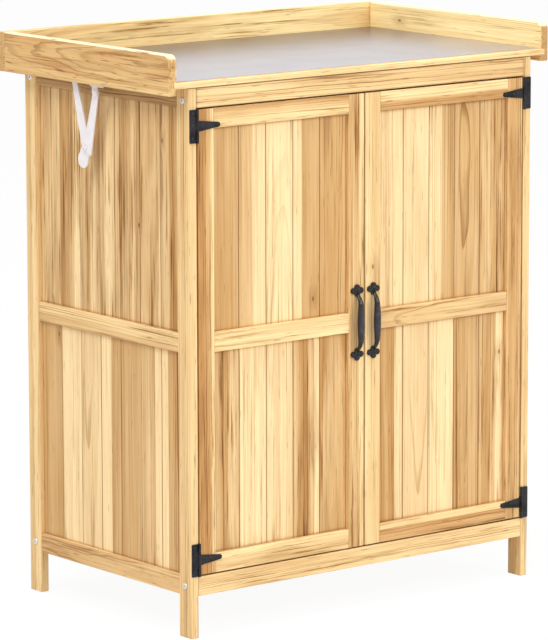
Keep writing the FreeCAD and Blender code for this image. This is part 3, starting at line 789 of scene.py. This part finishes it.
# The lighter, bluish base shows only on the front of the grip, a painted highlight; further back the iron
# turns to the near-black rear colour
BLACK_IRON = MetalFinish(base=paint(66, 60, 76), cloud=paint(44, 36, 42), gloss_low=0.16,
                         gloss_high=0.26, cloud_size=9 * MM, grit_size=2.4 * MM, bump=0.25,
                         rear=paint(10, 6, 4), rear_from=-245.0 * MM, rear_to=-240.5 * MM)
# Towards the back board the sheet darkens to the rear colour: painted shade of the back board
GALVANISED = MetalFinish(base=paint(190, 187, 194), cloud=paint(187, 184, 190), metallic=0.8,
                         gloss_low=0.28, gloss_high=0.31, cloud_size=60 * MM, grit_size=6 * MM,
                         rear=paint(132, 126, 130), rear_from=-80 * MM, rear_to=228 * MM)
WHITE_STEEL = MetalFinish(base=paint(237, 231, 232), cloud=paint(230, 224, 225), gloss_low=0.30,
                          gloss_high=0.42, bump=0.04)
BLUED_STEEL = MetalFinish(base=paint(58, 60, 68), cloud=paint(50, 52, 58), metallic=0.8,
                          gloss_low=0.18, gloss_high=0.26, cloud_size=3 * MM)
ZINC = MetalFinish(base=paint(232, 228, 222), cloud=paint(208, 204, 198), metallic=0.9,
                   gloss_low=0.25, gloss_high=0.38, cloud_size=4 * MM, bump=0.03)
PLASTIC = MetalFinish(base=paint(206, 196, 178), cloud=paint(198, 188, 170), gloss_low=0.45,
                      gloss_high=0.6, bump=0.05)


def cross_outline(reach: float, half: float) -> Outline:
    """Outline of a cross recess.

    Args:
        reach: Distance from the middle to the end of an arm.
        half: Half the width of an arm.

    Returns:
        Its twelve corners.
    """
    arm = ((reach, -half), (reach, half), (half, half))
    return tuple((x * c - y * s, x * s + y * c)
                 for c, s in ((1, 0), (0, 1), (-1, 0), (0, -1)) for x, y in arm)


def hexagon_outline(radius: float) -> Outline:
    """Outline of a six-sided socket.

    Args:
        radius: Distance from the middle to a corner.

    Returns:
        Its six corners.
    """
    turns = [math.radians(60 * corner) for corner in range(6)]
    return tuple((radius * math.cos(turn), radius * math.sin(turn)) for turn in turns)


@dataclass(frozen=True)
class HeadShape:
    """Side view of a head of radius 1 on z = 0, and the recess for the driver."""

    profile: Outline
    recess: Outline
    recess_deep: float
    floor_share: float = 0.8
    segments: int = 24

    def template(self) -> bpy.types.Mesh:
        """One head of radius 1 that faces +Z.

        Returns:
            Its mesh, which the caller removes.
        """
        shape = bmesh.new()
        rim = bmesh.ops.create_circle(shape, cap_ends=True, segments=self.segments, radius=1.0)["verts"]
        loop = list(dict.fromkeys(edge for vert in rim for edge in vert.link_edges))
        top = 0.0
        for radius, height in self.profile:
            made = bmesh.ops.extrude_edge_only(shape, edges=loop)["geom"]
            loop = [item for item in made if isinstance(item, bmesh.types.BMEdge)]
            for vert in (item for item in made if isinstance(item, bmesh.types.BMVert)):
                flat = vert.co.xy.normalized() * radius
                vert.co = (flat.x, flat.y, height)
            top = height
        corners = [shape.verts.new((x, y, top)) for x, y in self.recess]
        edges = [shape.edges.new((corner, corners[order - 1])) for order, corner in enumerate(corners)]
        bmesh.ops.bridge_loops(shape, edges=loop + edges)
        floor = bmesh.ops.contextual_create(shape, geom=edges)["faces"]
        sunk = bmesh.ops.extrude_discrete_faces(shape, faces=floor)["faces"]
        for vert in {vert for face in sunk for vert in face.verts}:
            vert.co.z -= self.recess_deep
            vert.co.xy *= self.floor_share
        bmesh.ops.bridge_loops(shape, edges=edges + [edge for face in sunk for edge in face.edges])
        mesh = bpy.data.meshes.new("head")
        shape.to_mesh(mesh)
        shape.free()
        return mesh


SCREW_HEAD = HeadShape(profile=((1.0, 0.07), (0.93, 0.14), (0.80, 0.19), (0.64, 0.24)),
                       recess=cross_outline(0.52, 0.15), recess_deep=0.18)
DOMED_HEAD = HeadShape(profile=((1.0, 0.16), (0.93, 0.32), (0.80, 0.44), (0.64, 0.52)),
                       recess=cross_outline(0.52, 0.15), recess_deep=0.35)
FLUSH_HEAD = HeadShape(profile=((1.0, 0.05), (0.97, 0.08)),
                       recess=cross_outline(0.55, 0.16), recess_deep=0.05)
RIVET_HEAD = HeadShape(profile=((0.98, 0.03), (0.86, 0.11), (0.62, 0.17), (0.40, 0.20)),
                       recess=hexagon_outline(0.2), recess_deep=0.02)
BOLT_HEAD = HeadShape(profile=((1.0, 0.12), (0.97, 0.24), (0.85, 0.34), (0.62, 0.40)),
                      recess=hexagon_outline(0.44), recess_deep=0.30)


@dataclass(frozen=True)
class Head:
    """Place of one head: its seat, the way it faces and its radius."""

    seat: Vector
    facing: Vector
    radius: float


def heads_at(xs: list[float], ys: list[float], zs: list[float], facing: Vector,
             radius: float) -> list[Head]:
    """Put a head wherever the given places on the three axes cross.

    Args:
        xs: Places along X.
        ys: Places along Y.
        zs: Places along Z.
        facing: Way that the heads face.
        radius: Their radius.

    Returns:
        The heads, with Z changing first.
    """
    return [Head(Vector(place), facing, radius) for place in product(xs, ys, zs)]


def threes(middles: list[float], spread: float) -> list[float]:
    """Three places at each middle: one on it, and one as far as the spread to each side."""
    return [middle + shift for middle in middles for shift in (-spread, 0.0, spread)]


def set_heads(kind: HeadShape, heads: list[Head], turn_step: float = 37.0) -> bmesh.types.BMesh:
    """Set one head at each place, each driven home at its own angle.

    Args:
        kind: Shape of the heads.
        heads: The places.
        turn_step: Degrees that each head is turned further than the last.

    Returns:
        All heads as one shape.
    """
    single = kind.template()
    shape = bmesh.new()
    for order, head in enumerate(heads):
        known = len(shape.verts)
        shape.from_mesh(single)
        shape.verts.ensure_lookup_table()
        turn = UPWARD.rotation_difference(head.facing).to_matrix().to_4x4()
        spin = Matrix.Rotation(math.radians(turn_step * order), 4, "Z")
        matrix = Matrix.Translation(head.seat) @ turn @ spin @ Matrix.Scale(head.radius, 4)
        bmesh.ops.transform(shape, matrix=matrix, verts=shape.verts[known:])
    bpy.data.meshes.remove(single)
    return shape


class Workshop:
    """Makes meshes into named pieces and dresses nodes."""

    def __init__(self) -> None:
        """Build the shared groups and the plain metal materials."""
        self.wood = Softwood()
        skin = MottledSkin()
        self.black_steel = BLACK_STEEL.material(skin, "black powder coat")
        self.black_iron = BLACK_IRON.material(skin, "black cast iron")
        self.blued = BLUED_STEEL.material(skin, "blued steel")
        self.galvanised = GALVANISED.material(skin, "galvanised sheet")
        self.white_steel = WHITE_STEEL.material(skin, "white coated steel")
        self.zinc = ZINC.material(skin, "bright zinc")
        self.plastic = PLASTIC.material(skin, "moulded plastic")

    @staticmethod
    def dress(node: str, material: bpy.types.Material) -> None:
        """Give a node of the frame one material.

        Args:
            node: Name of the node.
            material: What it is finished in.
        """
        slots = frame["nodes"][node].data.materials
        slots.clear()
        slots.append(material)
        LOG.info("dressed %s in %s", node, material.name)

    def timber(self, node: str, finish: TimberFinish, grain: Grain, lot: float,
               boards: str = "honey", trim: float = 0.0, reverse_face: bool = False) -> None:
        """Dress a node in wood, fitted to the node's own box.

        Args:
            node: Name of the node.
            finish: Kind of timber.
            grain: Way the fibres run.
            lot: Number of the log.
            boards: What each board is called, as pick takes it.
            trim: How far the row of boards runs into the frame at each edge.
            reverse_face: True where the shown face is at the high end of the deep axis.
        """
        low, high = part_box(node)
        across, deep, along = ("XYZ".index(letter) for letter in grain.value)
        row, ends = ((low[axis] + trim, high[axis] - trim) for axis in (across, along))
        face = high[deep] if reverse_face else low[deep]
        name = "timber " + node.replace("_", " ")
        self.dress(node, finish.material(self.wood, name, grain, pick(boards), row, face, ends, lot))

    @staticmethod
    def piece(name: str, shape: bmesh.types.BMesh, material: bpy.types.Material, body: str,
              slot: str, smooth_below: float = 40.0) -> bpy.types.Object:
        """Turn a finished shape into a piece that rides on a body.

        Args:
            name: Name of the piece.
            shape: Its geometry, which is freed.
            material: What it is finished in.
            body: Body that carries it.
            slot: Material slot of the record that it belongs to. Not used.
            smooth_below: Edges flatter than this many degrees are shaded round.

        Returns:
            The new object.
        """
        bmesh.ops.remove_doubles(shape, verts=shape.verts, dist=0.001 * MM)
        bmesh.ops.recalc_face_normals(shape, faces=shape.faces)
        mesh = bpy.data.meshes.new(name)
        shape.to_mesh(mesh)
        shape.free()
        mesh.shade_smooth()
        mesh.set_sharp_from_angle(angle=math.radians(smooth_below))
        mesh.materials.append(material)
        piece = bpy.data.objects.new(name, mesh)
        bpy.context.scene.collection.objects.link(piece)
        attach(piece, body)
        LOG.info("made %s with %d faces on %s", name, len(mesh.polygons), body)
        return piece


@dataclass
class Carcase:
    """Posts, rails, wall boards, floor and shelf, which do not move."""

    shop: Workshop
    board_lap: float = 5 * MM
    slat_gap: float = 6 * MM
    nail_inset: float = 8 * MM
    nail_spread: float = 26 * MM
    nail_radius: float = 2.2 * MM
    side_upper: str = ("tan rift lively, amber flat wild, amber rift lively, cream rift lively,"
                       "honey quarter lively, tan rift low_third lively, amber flat lively")
    side_lower: str = ("tan rift high_third, amber quarter low_third, tan rift calm,"
                       "tan quarter high_half calm, cream flat, pale quarter, tan rift calm")
    rear: str = ("honey rift, tan quarter, cream flat, amber quarter, honey flat, cream rift, tan quarter,"
                 "honey flat, amber rift, cream flat, honey quarter, tan rift, honey flat")
    slats: str = "honey flat, amber rift, cream flat, honey rift"

    def dress(self) -> None:
        """Give every fixed wooden node its timber."""
        self._posts()
        self._rails()
        self._walls()
        self._inside()

    def _posts(self) -> None:
        """Posts, each from its own log."""
        for lot, (node, board) in enumerate((
            ("front_left_post", "honey quarter"), ("front_right_post", "honey quarter"),
            ("rear_left_post", "cream quarter"), ("rear_right_post", "cream quarter"),
        )):
            self.shop.timber(node, FRAME_TIMBER, Grain.UP_FACING_SIDE, 3.1 + lot, board)

    def _rails(self) -> None:
        """Front, rear and side rails."""
        # The two side top rails are browner, with the brown tone, as a painted shadow of the tray's overhang
        brown = replace(FRAME_TIMBER, pale=paint(228, 190, 134), deep=paint(178, 138, 86))
        # The front top rail's joint shade paints shadow lines along its top and bottom edges and near its
        # ends
        shadow_lined = replace(FRAME_TIMBER, joint_shade=0.5)
        rows = (
            ("front_top_rail", shadow_lined, "honey rift"),
            ("front_bottom_rail", FRAME_TIMBER, "honey rift"),
            ("rear_top_rail", FRAME_TIMBER, "honey rift"),
            ("rear_middle_rail", FRAME_TIMBER, "cream rift"),
            ("rear_bottom_rail", FRAME_TIMBER, "honey flat"),
            ("left_side_top_rail", brown, "brown rift"),
            ("left_side_middle_rail", FRAME_TIMBER, "cream rift"),
            ("left_side_bottom_rail", FRAME_TIMBER, "honey flat"),
            ("right_side_top_rail", brown, "brown rift"),
            ("right_side_middle_rail", FRAME_TIMBER, "honey flat"),
            ("right_side_bottom_rail", FRAME_TIMBER, "honey rift"),
        )
        for lot, (node, finish, board) in enumerate(rows):
            grain = Grain.REARWARD_UPRIGHT if "_side_" in node else Grain.SIDEWAYS_UPRIGHT
            self.shop.timber(node, finish, grain, 11.3 + lot, board + " lively")

    def _walls(self) -> None:
        """Side and rear boards."""
        for lot, (node, boards, reverse) in enumerate((
            ("left_side_upper_boards", self.side_upper, False),
            ("left_side_lower_boards", self.side_lower, False),
            ("right_side_upper_boards", self.side_lower, True),
            ("right_side_lower_boards", self.side_upper, True),
            ("rear_boards", self.rear, True),
        )):
            grain = Grain.UP_FACING_SIDE if "_side_" in node else Grain.UP_FACING_FRONT
            self.shop.timber(node, BOARD_TIMBER, grain, 31.0 + lot, boards, self.board_lap, reverse)

    def _inside(self) -> None:
        """Floor, shelf and their bearers."""
        for lot, node in enumerate(("floor_boards", "shelf_boards")):
            self.shop.timber(node, FRAME_TIMBER, Grain.SIDEWAYS_FLAT, 41.0 + lot, self.slats,
                             reverse_face=True)
        self.shop.timber("slat_bearers", FRAME_TIMBER, Grain.REARWARD_UPRIGHT, 44.0)
        self._slat_nails(len(pick(self.slats)))

    def _slat_nails(self, count: int) -> None:
        """Flat nail heads where the slats cross their bearers.

        Args:
            count: Slats in the floor, and in the shelf.
        """
        heads = []
        for node in ("floor_boards", "shelf_boards"):
            low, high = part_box(node)
            pitch = (high.y - low.y + self.slat_gap) / count
            for order in range(count):
                middle = low.y + pitch * (order + 0.5) - self.slat_gap / 2
                heads += heads_at([low.x + self.nail_inset, high.x - self.nail_inset],
                                  [middle - self.nail_spread, middle + self.nail_spread],
                                  [high.z], UPWARD, self.nail_radius)
        self.shop.piece("slat_nails", set_heads(FLUSH_HEAD, heads), self.shop.zinc, "cabinet", "zinc_bolts")


@dataclass
class Door:
    """One framed and boarded door with its straps, pull and strike."""

    shop: Workshop
    side: str
    lot: float
    hinge_stile: str
    meeting_stile: str
    top_rail: str
    middle_rail: str
    bottom_rail: str
    upper_boards: str
    lower_boards: str
    board_lap: float = 5 * MM
    strap_root: float = 18.0 * MM
    barrel_radius: float = 2.5 * MM
    strap_screws: tuple[float, ...] = (9.5 * MM, 24 * MM, 41.5 * MM)
    strap_screw_radius: float = 2.3 * MM
    leaf_thick: float = 1.8 * MM
    rosette_high: float = 6.0 * MM
    rosette_half: float = 10.6 * MM
    handle_screw_radius: float = 2.6 * MM
    strike_screw_spread: float = 12 * MM
    strike_screw_radius: float = 2.0 * MM

    def node(self, part: str) -> str:
        """Full name of one of the door's nodes."""
        return f"{self.side}_door_{part}"

    def dress(self) -> None:
        """Give the door's nodes their materials and add its screws."""
        upright, level = Grain.UP_FACING_FRONT, Grain.SIDEWAYS_UPRIGHT
        rows = (
            ("hinge_stile", upright, self.hinge_stile),
            ("meeting_stile", upright, self.meeting_stile),
            ("top_rail", level, self.top_rail),
            ("middle_rail", level, self.middle_rail),
            ("bottom_rail", level, self.bottom_rail),
        )
        for step, (part, grain, board) in enumerate(rows):
            self.shop.timber(self.node(part), FRAME_TIMBER, grain, self.lot + step, board)
        for step, part, boards in ((7, "upper_boards", self.upper_boards),
                                   (8, "lower_boards", self.lower_boards)):
            self.shop.timber(self.node(part), BOARD_TIMBER, upright, self.lot + step, boards, self.board_lap)
        self.shop.dress(self.node("hinge_straps"), self.shop.black_steel)
        self.shop.dress(self.node("handle"), self.shop.black_iron)
        self.shop.dress(self.node("strike"), self.shop.zinc)
        self._strap_screws()
        self._handle_screws()
        self._strike_screws()

    def _strap_screws(self) -> None:
        """Black screws along both straps."""
        low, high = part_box(self.node("hinge_straps"))
        barrel, inward = (low.x, 1.0) if self.side == "left" else (high.x, -1.0)
        leaf_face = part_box(self.node("hinge_stile"))[0].y - self.leaf_thick
        axis = barrel + inward * self.barrel_radius
        heads = []
        for level in (low.z + self.strap_root / 2, high.z - self.strap_root / 2):
            heads += heads_at([axis + inward * place for place in self.strap_screws], [leaf_face],
                              [level], FORWARD, self.strap_screw_radius)
        self.shop.piece(self.node("strap_screws"), set_heads(SCREW_HEAD, heads), self.shop.blued,
                        f"{self.side}_door", "black_steel")

    def _handle_screws(self) -> None:
        """Domed screw in the middle of each rosette of the pull."""
        low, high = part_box(self.node("handle"))
        seat_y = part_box(self.node("meeting_stile"))[0].y - self.rosette_high
        heads = heads_at([(low.x + high.x) / 2], [seat_y],
                         [low.z + self.rosette_half, high.z - self.rosette_half], FORWARD,
                         self.handle_screw_radius)
        self.shop.piece(self.node("handle_screws"), set_heads(DOMED_HEAD, heads), self.shop.blued,
                        f"{self.side}_door", "black_cast_iron")

    def _strike_screws(self) -> None:
        """Two flush screws that hold the strike behind the top rail."""
        low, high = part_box(self.node("strike"))
        middle = (low.x + high.x) / 2
        heads = heads_at([middle - self.strike_screw_spread, middle + self.strike_screw_spread], [high.y],
                         [(low.z + high.z) / 2], REARWARD, self.strike_screw_radius)
        self.shop.piece(self.node("strike_screws"), set_heads(FLUSH_HEAD, heads), self.shop.zinc,
                        f"{self.side}_door", "galvanised_steel")


@dataclass
class Ironmongery:
    """Hinge plates, bolts, catches and the fixed halves of the lid hinges and stays."""

    shop: Workshop
    plate_screw_spread: float = 20 * MM
    plate_screw_radius: float = 2.5 * MM
    plate_half_wide: float = 6.0 * MM
    plate_half_high: float = 27.8 * MM
    leaf_thick: float = 1.8 * MM
    bolt_head_radius: float = 5.5 * MM
    bolt_shank_radius: float = 3.0 * MM
    bolt_long: float = 50 * MM
    lid_leaf_long: float = 60 * MM
    lid_leaf_thick: float = 1.2 * MM
    lid_pin_end: float = 0.8 * MM
    lid_screw_spread: float = 20 * MM
    lid_screw_rise: float = 5.5 * MM
    lid_screw_radius: float = 2.4 * MM
    rivet_radius: float = 4.4 * MM
    catch_half: float = 18 * MM
    pole_long: float = 25.2 * MM
    pole_high: float = 1.4 * MM
    pole_proud: float = 0.15 * MM
    pole_levels: Pair = (0.35, 0.65)

    def dress(self) -> None:
        """Give the fixed metal nodes their skins and add screws."""
        self.shop.dress("door_hinge_plates", self.shop.black_steel)
        for node in ("cabinet_bolts", "lid_hinge_body_leaves", "lid_hinge_lid_leaves"):
            self.shop.dress(node, self.shop.zinc)
        for node in ("stay_wall_pivots", "stay_lid_plates", "left_stay_wall_arm", "left_stay_lid_arm",
                     "right_stay_wall_arm", "right_stay_lid_arm"):
            self.shop.dress(node, self.shop.white_steel)
        self.shop.dress("door_catches", self.shop.plastic)
        self._plate_screws()
        self._bolts()
        self._lid_hinge_screws()
        self._catch_poles()
        for side, outward in (("left", -1.0), ("right", 1.0)):
            self._stay_rivet(side, outward)

    def _plate_screws(self) -> None:
        """Three black screws in each fixed hinge plate."""
        low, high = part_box("door_hinge_plates")
        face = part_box("front_left_post")[0].y - self.leaf_thick
        levels = threes([low.z + self.plate_half_high, high.z - self.plate_half_high],
                        self.plate_screw_spread)
        heads = heads_at([low.x + self.plate_half_wide, high.x - self.plate_half_wide], [face], levels,
                         FORWARD, self.plate_screw_radius)
        self.shop.piece("hinge_plate_screws", set_heads(SCREW_HEAD, heads), self.shop.blued,
                        "cabinet", "black_steel")

    def _bolts(self) -> None:
        """Zinc plated bolts with a six-sided socket, through the posts into the rails."""
        low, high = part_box("cabinet_bolts")
        radius = self.bolt_head_radius
        heads = []
        for post, corner, outward in (("front_left_post", 0, -1.0), ("front_right_post", 1, 1.0)):
            heads += heads_at([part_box(post)[corner].x], [low.y + radius, high.y - radius],
                              [low.z + radius, high.z - radius], Vector((outward, 0, 0)), radius)
        shape = set_heads(BOLT_HEAD, heads)
        for head in heads:
            middle = head.seat - head.facing * (self.bolt_long / 2)
            matrix = Matrix.Translation(middle) @ Matrix.Rotation(math.radians(90), 4, "Y")
            bmesh.ops.create_cone(shape, cap_ends=True, segments=16, radius1=self.bolt_shank_radius,
                                  radius2=self.bolt_shank_radius, depth=self.bolt_long, matrix=matrix)
        bolts = self.shop.piece("socket_bolts", shape, self.shop.zinc, "cabinet", "zinc_bolts")
        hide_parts("cabinet_bolts")

    def _lid_hinge_screws(self) -> None:
        """Three screws in each fixed leaf of the lid hinges."""
        low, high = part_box("lid_hinge_body_leaves")
        half = self.lid_pin_end + self.lid_leaf_long / 2
        heads = heads_at(threes([low.x + half, high.x - half], self.lid_screw_spread),
                         [low.y + self.lid_leaf_thick], [low.z + self.lid_screw_rise], REARWARD,
                         self.lid_screw_radius)
        self.shop.piece("lid_hinge_screws", set_heads(SCREW_HEAD, heads), self.shop.zinc,
                        "cabinet", "zinc_hinge")

    def _catch_poles(self) -> None:
        """Two steel pole plates that show on the front of each magnetic catch."""
        low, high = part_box("door_catches")
        half_wide = (high.x - low.x) / 2
        size = Matrix.Diagonal((self.pole_long, self.pole_proud * 2, self.pole_high, 1.0))
        shape = bmesh.new()
        for side, share in product((-1.0, 1.0), self.pole_levels):
            centre = Vector((side * (half_wide - self.catch_half), low.y,
                             low.z + (high.z - low.z) * share))
            bmesh.ops.create_cube(shape, size=1.0, matrix=Matrix.Translation(centre) @ size)
        self.shop.piece("catch_poles", shape, self.shop.zinc, "cabinet", "galvanised_steel")

    def _stay_rivet(self, side: str, outward: float) -> None:
        """Domed end of the rivet that joins the two arms of a stay.

        Args:
            side: Which stay.
            outward: Direction of its outer face along X.
        """
        knuckle = next(joint for joint in frame["joints"] if joint["name"] == f"{side}_stay_knuckle")
        low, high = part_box(f"{side}_stay_wall_arm")
        face = low.x if outward < 0 else high.x
        seat = Vector((face, knuckle["pos_m"][1], knuckle["pos_m"][2]))
        heads = [Head(seat, Vector((outward, 0, 0)), self.rivet_radius)]
        self.shop.piece(f"{side}_stay_rivet", set_heads(RIVET_HEAD, heads), self.shop.white_steel,
                        f"{side}_wall_arm", "white_steel")


@dataclass
class TrayLid:
    """Metal topped tray with its raised boards."""

    shop: Workshop

    def dress(self) -> None:
        """Give the lid's nodes their materials."""
        # The side boards' top edges carry a painted highlight
        sides = replace(TRAY_TIMBER, top_share=0.8)
        left = replace(sides, end_share=0.2, deep=paint(210, 160, 100), flecks=0.8)
        right = replace(sides, end_share=0.8)
        for lot, (part, finish, grain, board) in enumerate((
            ("left_board", left, Grain.REARWARD_UPRIGHT, "amber flat lively"),
            ("right_board", right, Grain.REARWARD_UPRIGHT, "pale rift"),
            ("back_board", TRAY_TIMBER, Grain.SIDEWAYS_UPRIGHT, "cream flat wild"),
            ("front_strip", FRAME_TIMBER, Grain.SIDEWAYS_UPRIGHT, "cream rift"),
            ("panel", TRAY_TIMBER, Grain.SIDEWAYS_FLAT, "honey flat"),
        )):
            self.shop.timber("tray_" + part, finish, grain, 61.0 + lot, board)
        self.shop.dress("galvanised_sheet", self.shop.galvanised)


@dataclass(frozen=True)
class Lamp:
    """One square lamp: where it hangs, the length of its edges and its watts."""

    name: str
    place: Vector
    size: float
    power: float


@dataclass
class Studio:
    """White room, soft lights and the camera."""

    focal_pixels: float = 4300.5
    tall_pixels: float = 640.0
    sensor: float = 36.0
    view_far: float = 100.0
    eye: Vector = Vector((-4.4791, -5.6384, 1.7160))
    yaw: float = 38.390
    pitch: float = 9.923
    roll: float = -0.12
    room_light: float = 0.59
    floor_half: float = 12.0
    floor_gap: float = 0.2 * MM
    floor_grey: float = 0.85
    floor_glow: float = 1.02
    floor_glow_share: float = 0.92
    middle_height: float = 0.5
    lamps: tuple[Lamp, ...] = (
        Lamp("key", Vector((1.6, -4.2, 3.4)), 3.0, 106.0),
        Lamp("side light", Vector((-2.8, -0.8, 3.6)), 1.6, 68.0),
        Lamp("top light", Vector((-0.4, -0.3, 3.8)), 1.8, 45.0),
        Lamp("small light", Vector((-1.2, -3.4, 2.4)), 0.3, 9.0),
    )

    def build(self) -> None:
        """Set up the whole studio."""
        bpy.context.scene.view_settings.view_transform = "Standard"
        self._camera()
        self._world()
        self._floor()
        for lamp in self.lamps:
            self._hang(lamp)

    def _camera(self) -> None:
        """Long lens at the photograph's viewing angle."""
        data = bpy.data.cameras.new("camera")
        data.sensor_width = self.sensor
        data.lens = self.focal_pixels * self.sensor / self.tall_pixels
        data.clip_end = self.view_far
        camera = bpy.data.objects.new("camera", data)
        bpy.context.scene.collection.objects.link(camera)
        camera.location = self.eye
        turn = (Matrix.Rotation(math.radians(-self.yaw), 4, "Z")
                @ Matrix.Rotation(math.radians(90 - self.pitch), 4, "X")
                @ Matrix.Rotation(math.radians(self.roll), 4, "Z"))
        camera.rotation_euler = turn.to_euler()
        bpy.context.scene.camera = camera

    @staticmethod
    def _mix_for_camera(tree: bpy.types.NodeTree, share: float, plain: tuple[str, dict[str, Value]],
                        bright: tuple[str, dict[str, Value]], out: str) -> None:
        """Fill a tree with two shaders: a bright one for the camera and reflections, a plain one else.

        Args:
            tree: Tree of a world or a material, emptied first.
            share: How much of the bright one such rays get.
            plain: Type name of the plain shader and its values by input.
            bright: The same of the bright one.
            out: Type name of the output node.
        """
        tree.nodes.clear()
        graph = Graph(tree)
        rays = graph.add("ShaderNodeLightPath").outputs
        seen = graph.math("MAXIMUM", rays["Is Camera Ray"],
                          graph.math("MAXIMUM", rays["Is Glossy Ray"], rays["Is Transmission Ray"]))
        feeds = {0: seen * share, 1: graph.step(*plain), 2: graph.step(*bright)}
        graph.feed(graph.add(out).inputs["Surface"], graph.step("ShaderNodeMixShader", feeds))

    def _world(self) -> None:
        """White for the camera and for reflections, and plain soft light for the rest."""
        world = bpy.data.worlds.new("white room")
        bpy.context.scene.world = world
        world.use_nodes = True
        soft, white = ({"Color": (1.0, 1.0, 1.0), "Strength": light} for light in (self.room_light, 1.0))
        self._mix_for_camera(world.node_tree, 1.0, ("ShaderNodeBackground", soft),
                             ("ShaderNodeBackground", white), "ShaderNodeOutputWorld")

    def _floor(self) -> None:
        """Pale floor that shows as white where no shadow falls."""
        shape = bmesh.new()
        bmesh.ops.create_grid(shape, x_segments=4, y_segments=4, size=self.floor_half)
        mesh = bpy.data.meshes.new("floor")
        shape.to_mesh(mesh)
        shape.free()
        floor = bpy.data.objects.new("floor", mesh)
        floor.location.z = CAD_BOX[0][2] - self.floor_gap
        bpy.context.scene.collection.objects.link(floor)
        material = bpy.data.materials.new("pale floor")
        material.use_nodes = True
        matt = {"Color": (self.floor_grey,) * 3}
        glow = {"Color": (1.0, 1.0, 1.0), "Strength": self.floor_glow}
        self._mix_for_camera(material.node_tree, self.floor_glow_share, ("ShaderNodeBsdfDiffuse", matt),
                             ("ShaderNodeEmission", glow), "ShaderNodeOutputMaterial")
        mesh.materials.append(material)

    def _hang(self, lamp: Lamp) -> None:
        """Add one lamp that looks at the middle of the cabinet.

        Args:
            lamp: What it is like and where it hangs.
        """
        data = bpy.data.lights.new(lamp.name, "AREA")
        data.shape = "RECTANGLE"
        data.size = data.size_y = lamp.size
        data.energy = lamp.power
        light = bpy.data.objects.new(lamp.name, data)
        bpy.context.scene.collection.objects.link(light)
        light.location = lamp.place
        aim = Vector((0.0, 0.0, self.middle_height)) - light.location
        light.rotation_euler = aim.to_track_quat("-Z", "Y").to_euler()


def main() -> None:
    """Build the classes in order and dress the cabinet."""
    logging.basicConfig(level=logging.INFO, format="%(name)s: %(message)s")
    Studio().build()
    shop = Workshop()
    Carcase(shop).dress()
    Door(shop, "left", 70.0,
         hinge_stile="tan rift high_edge lively",
         meeting_stile="amber rift high_third lively",
         top_rail="tan rift low_half lively",
         middle_rail="pale rift",
         bottom_rail="honey rift high_third lively",
         upper_boards="tan rift calm, amber quarter high_half calm, pale flat,"
                      "tan quarter low_third calm, tan flat",
         lower_boards="amber rift lively, pale rift, cream quarter,"
                      "tan rift high_edge lively, tan flat lively").dress()
    Door(shop, "right", 85.0,
         hinge_stile="amber rift lively",
         meeting_stile="cream quarter",
         top_rail="amber rift high_half lively",
         middle_rail="cream flat lively",
         bottom_rail="tan rift high_third lively",
         upper_boards="cream quarter, pale flat, tan quarter low_half, tan flat, tan rift lively",
         lower_boards="tan rift high_third, cream flat calm, pale rift, tan quarter,"
                      "amber rift high_third lively").dress()
    Ironmongery(shop).dress()
    TrayLid(shop).dress()


if __name__ == "__main__":
    main()
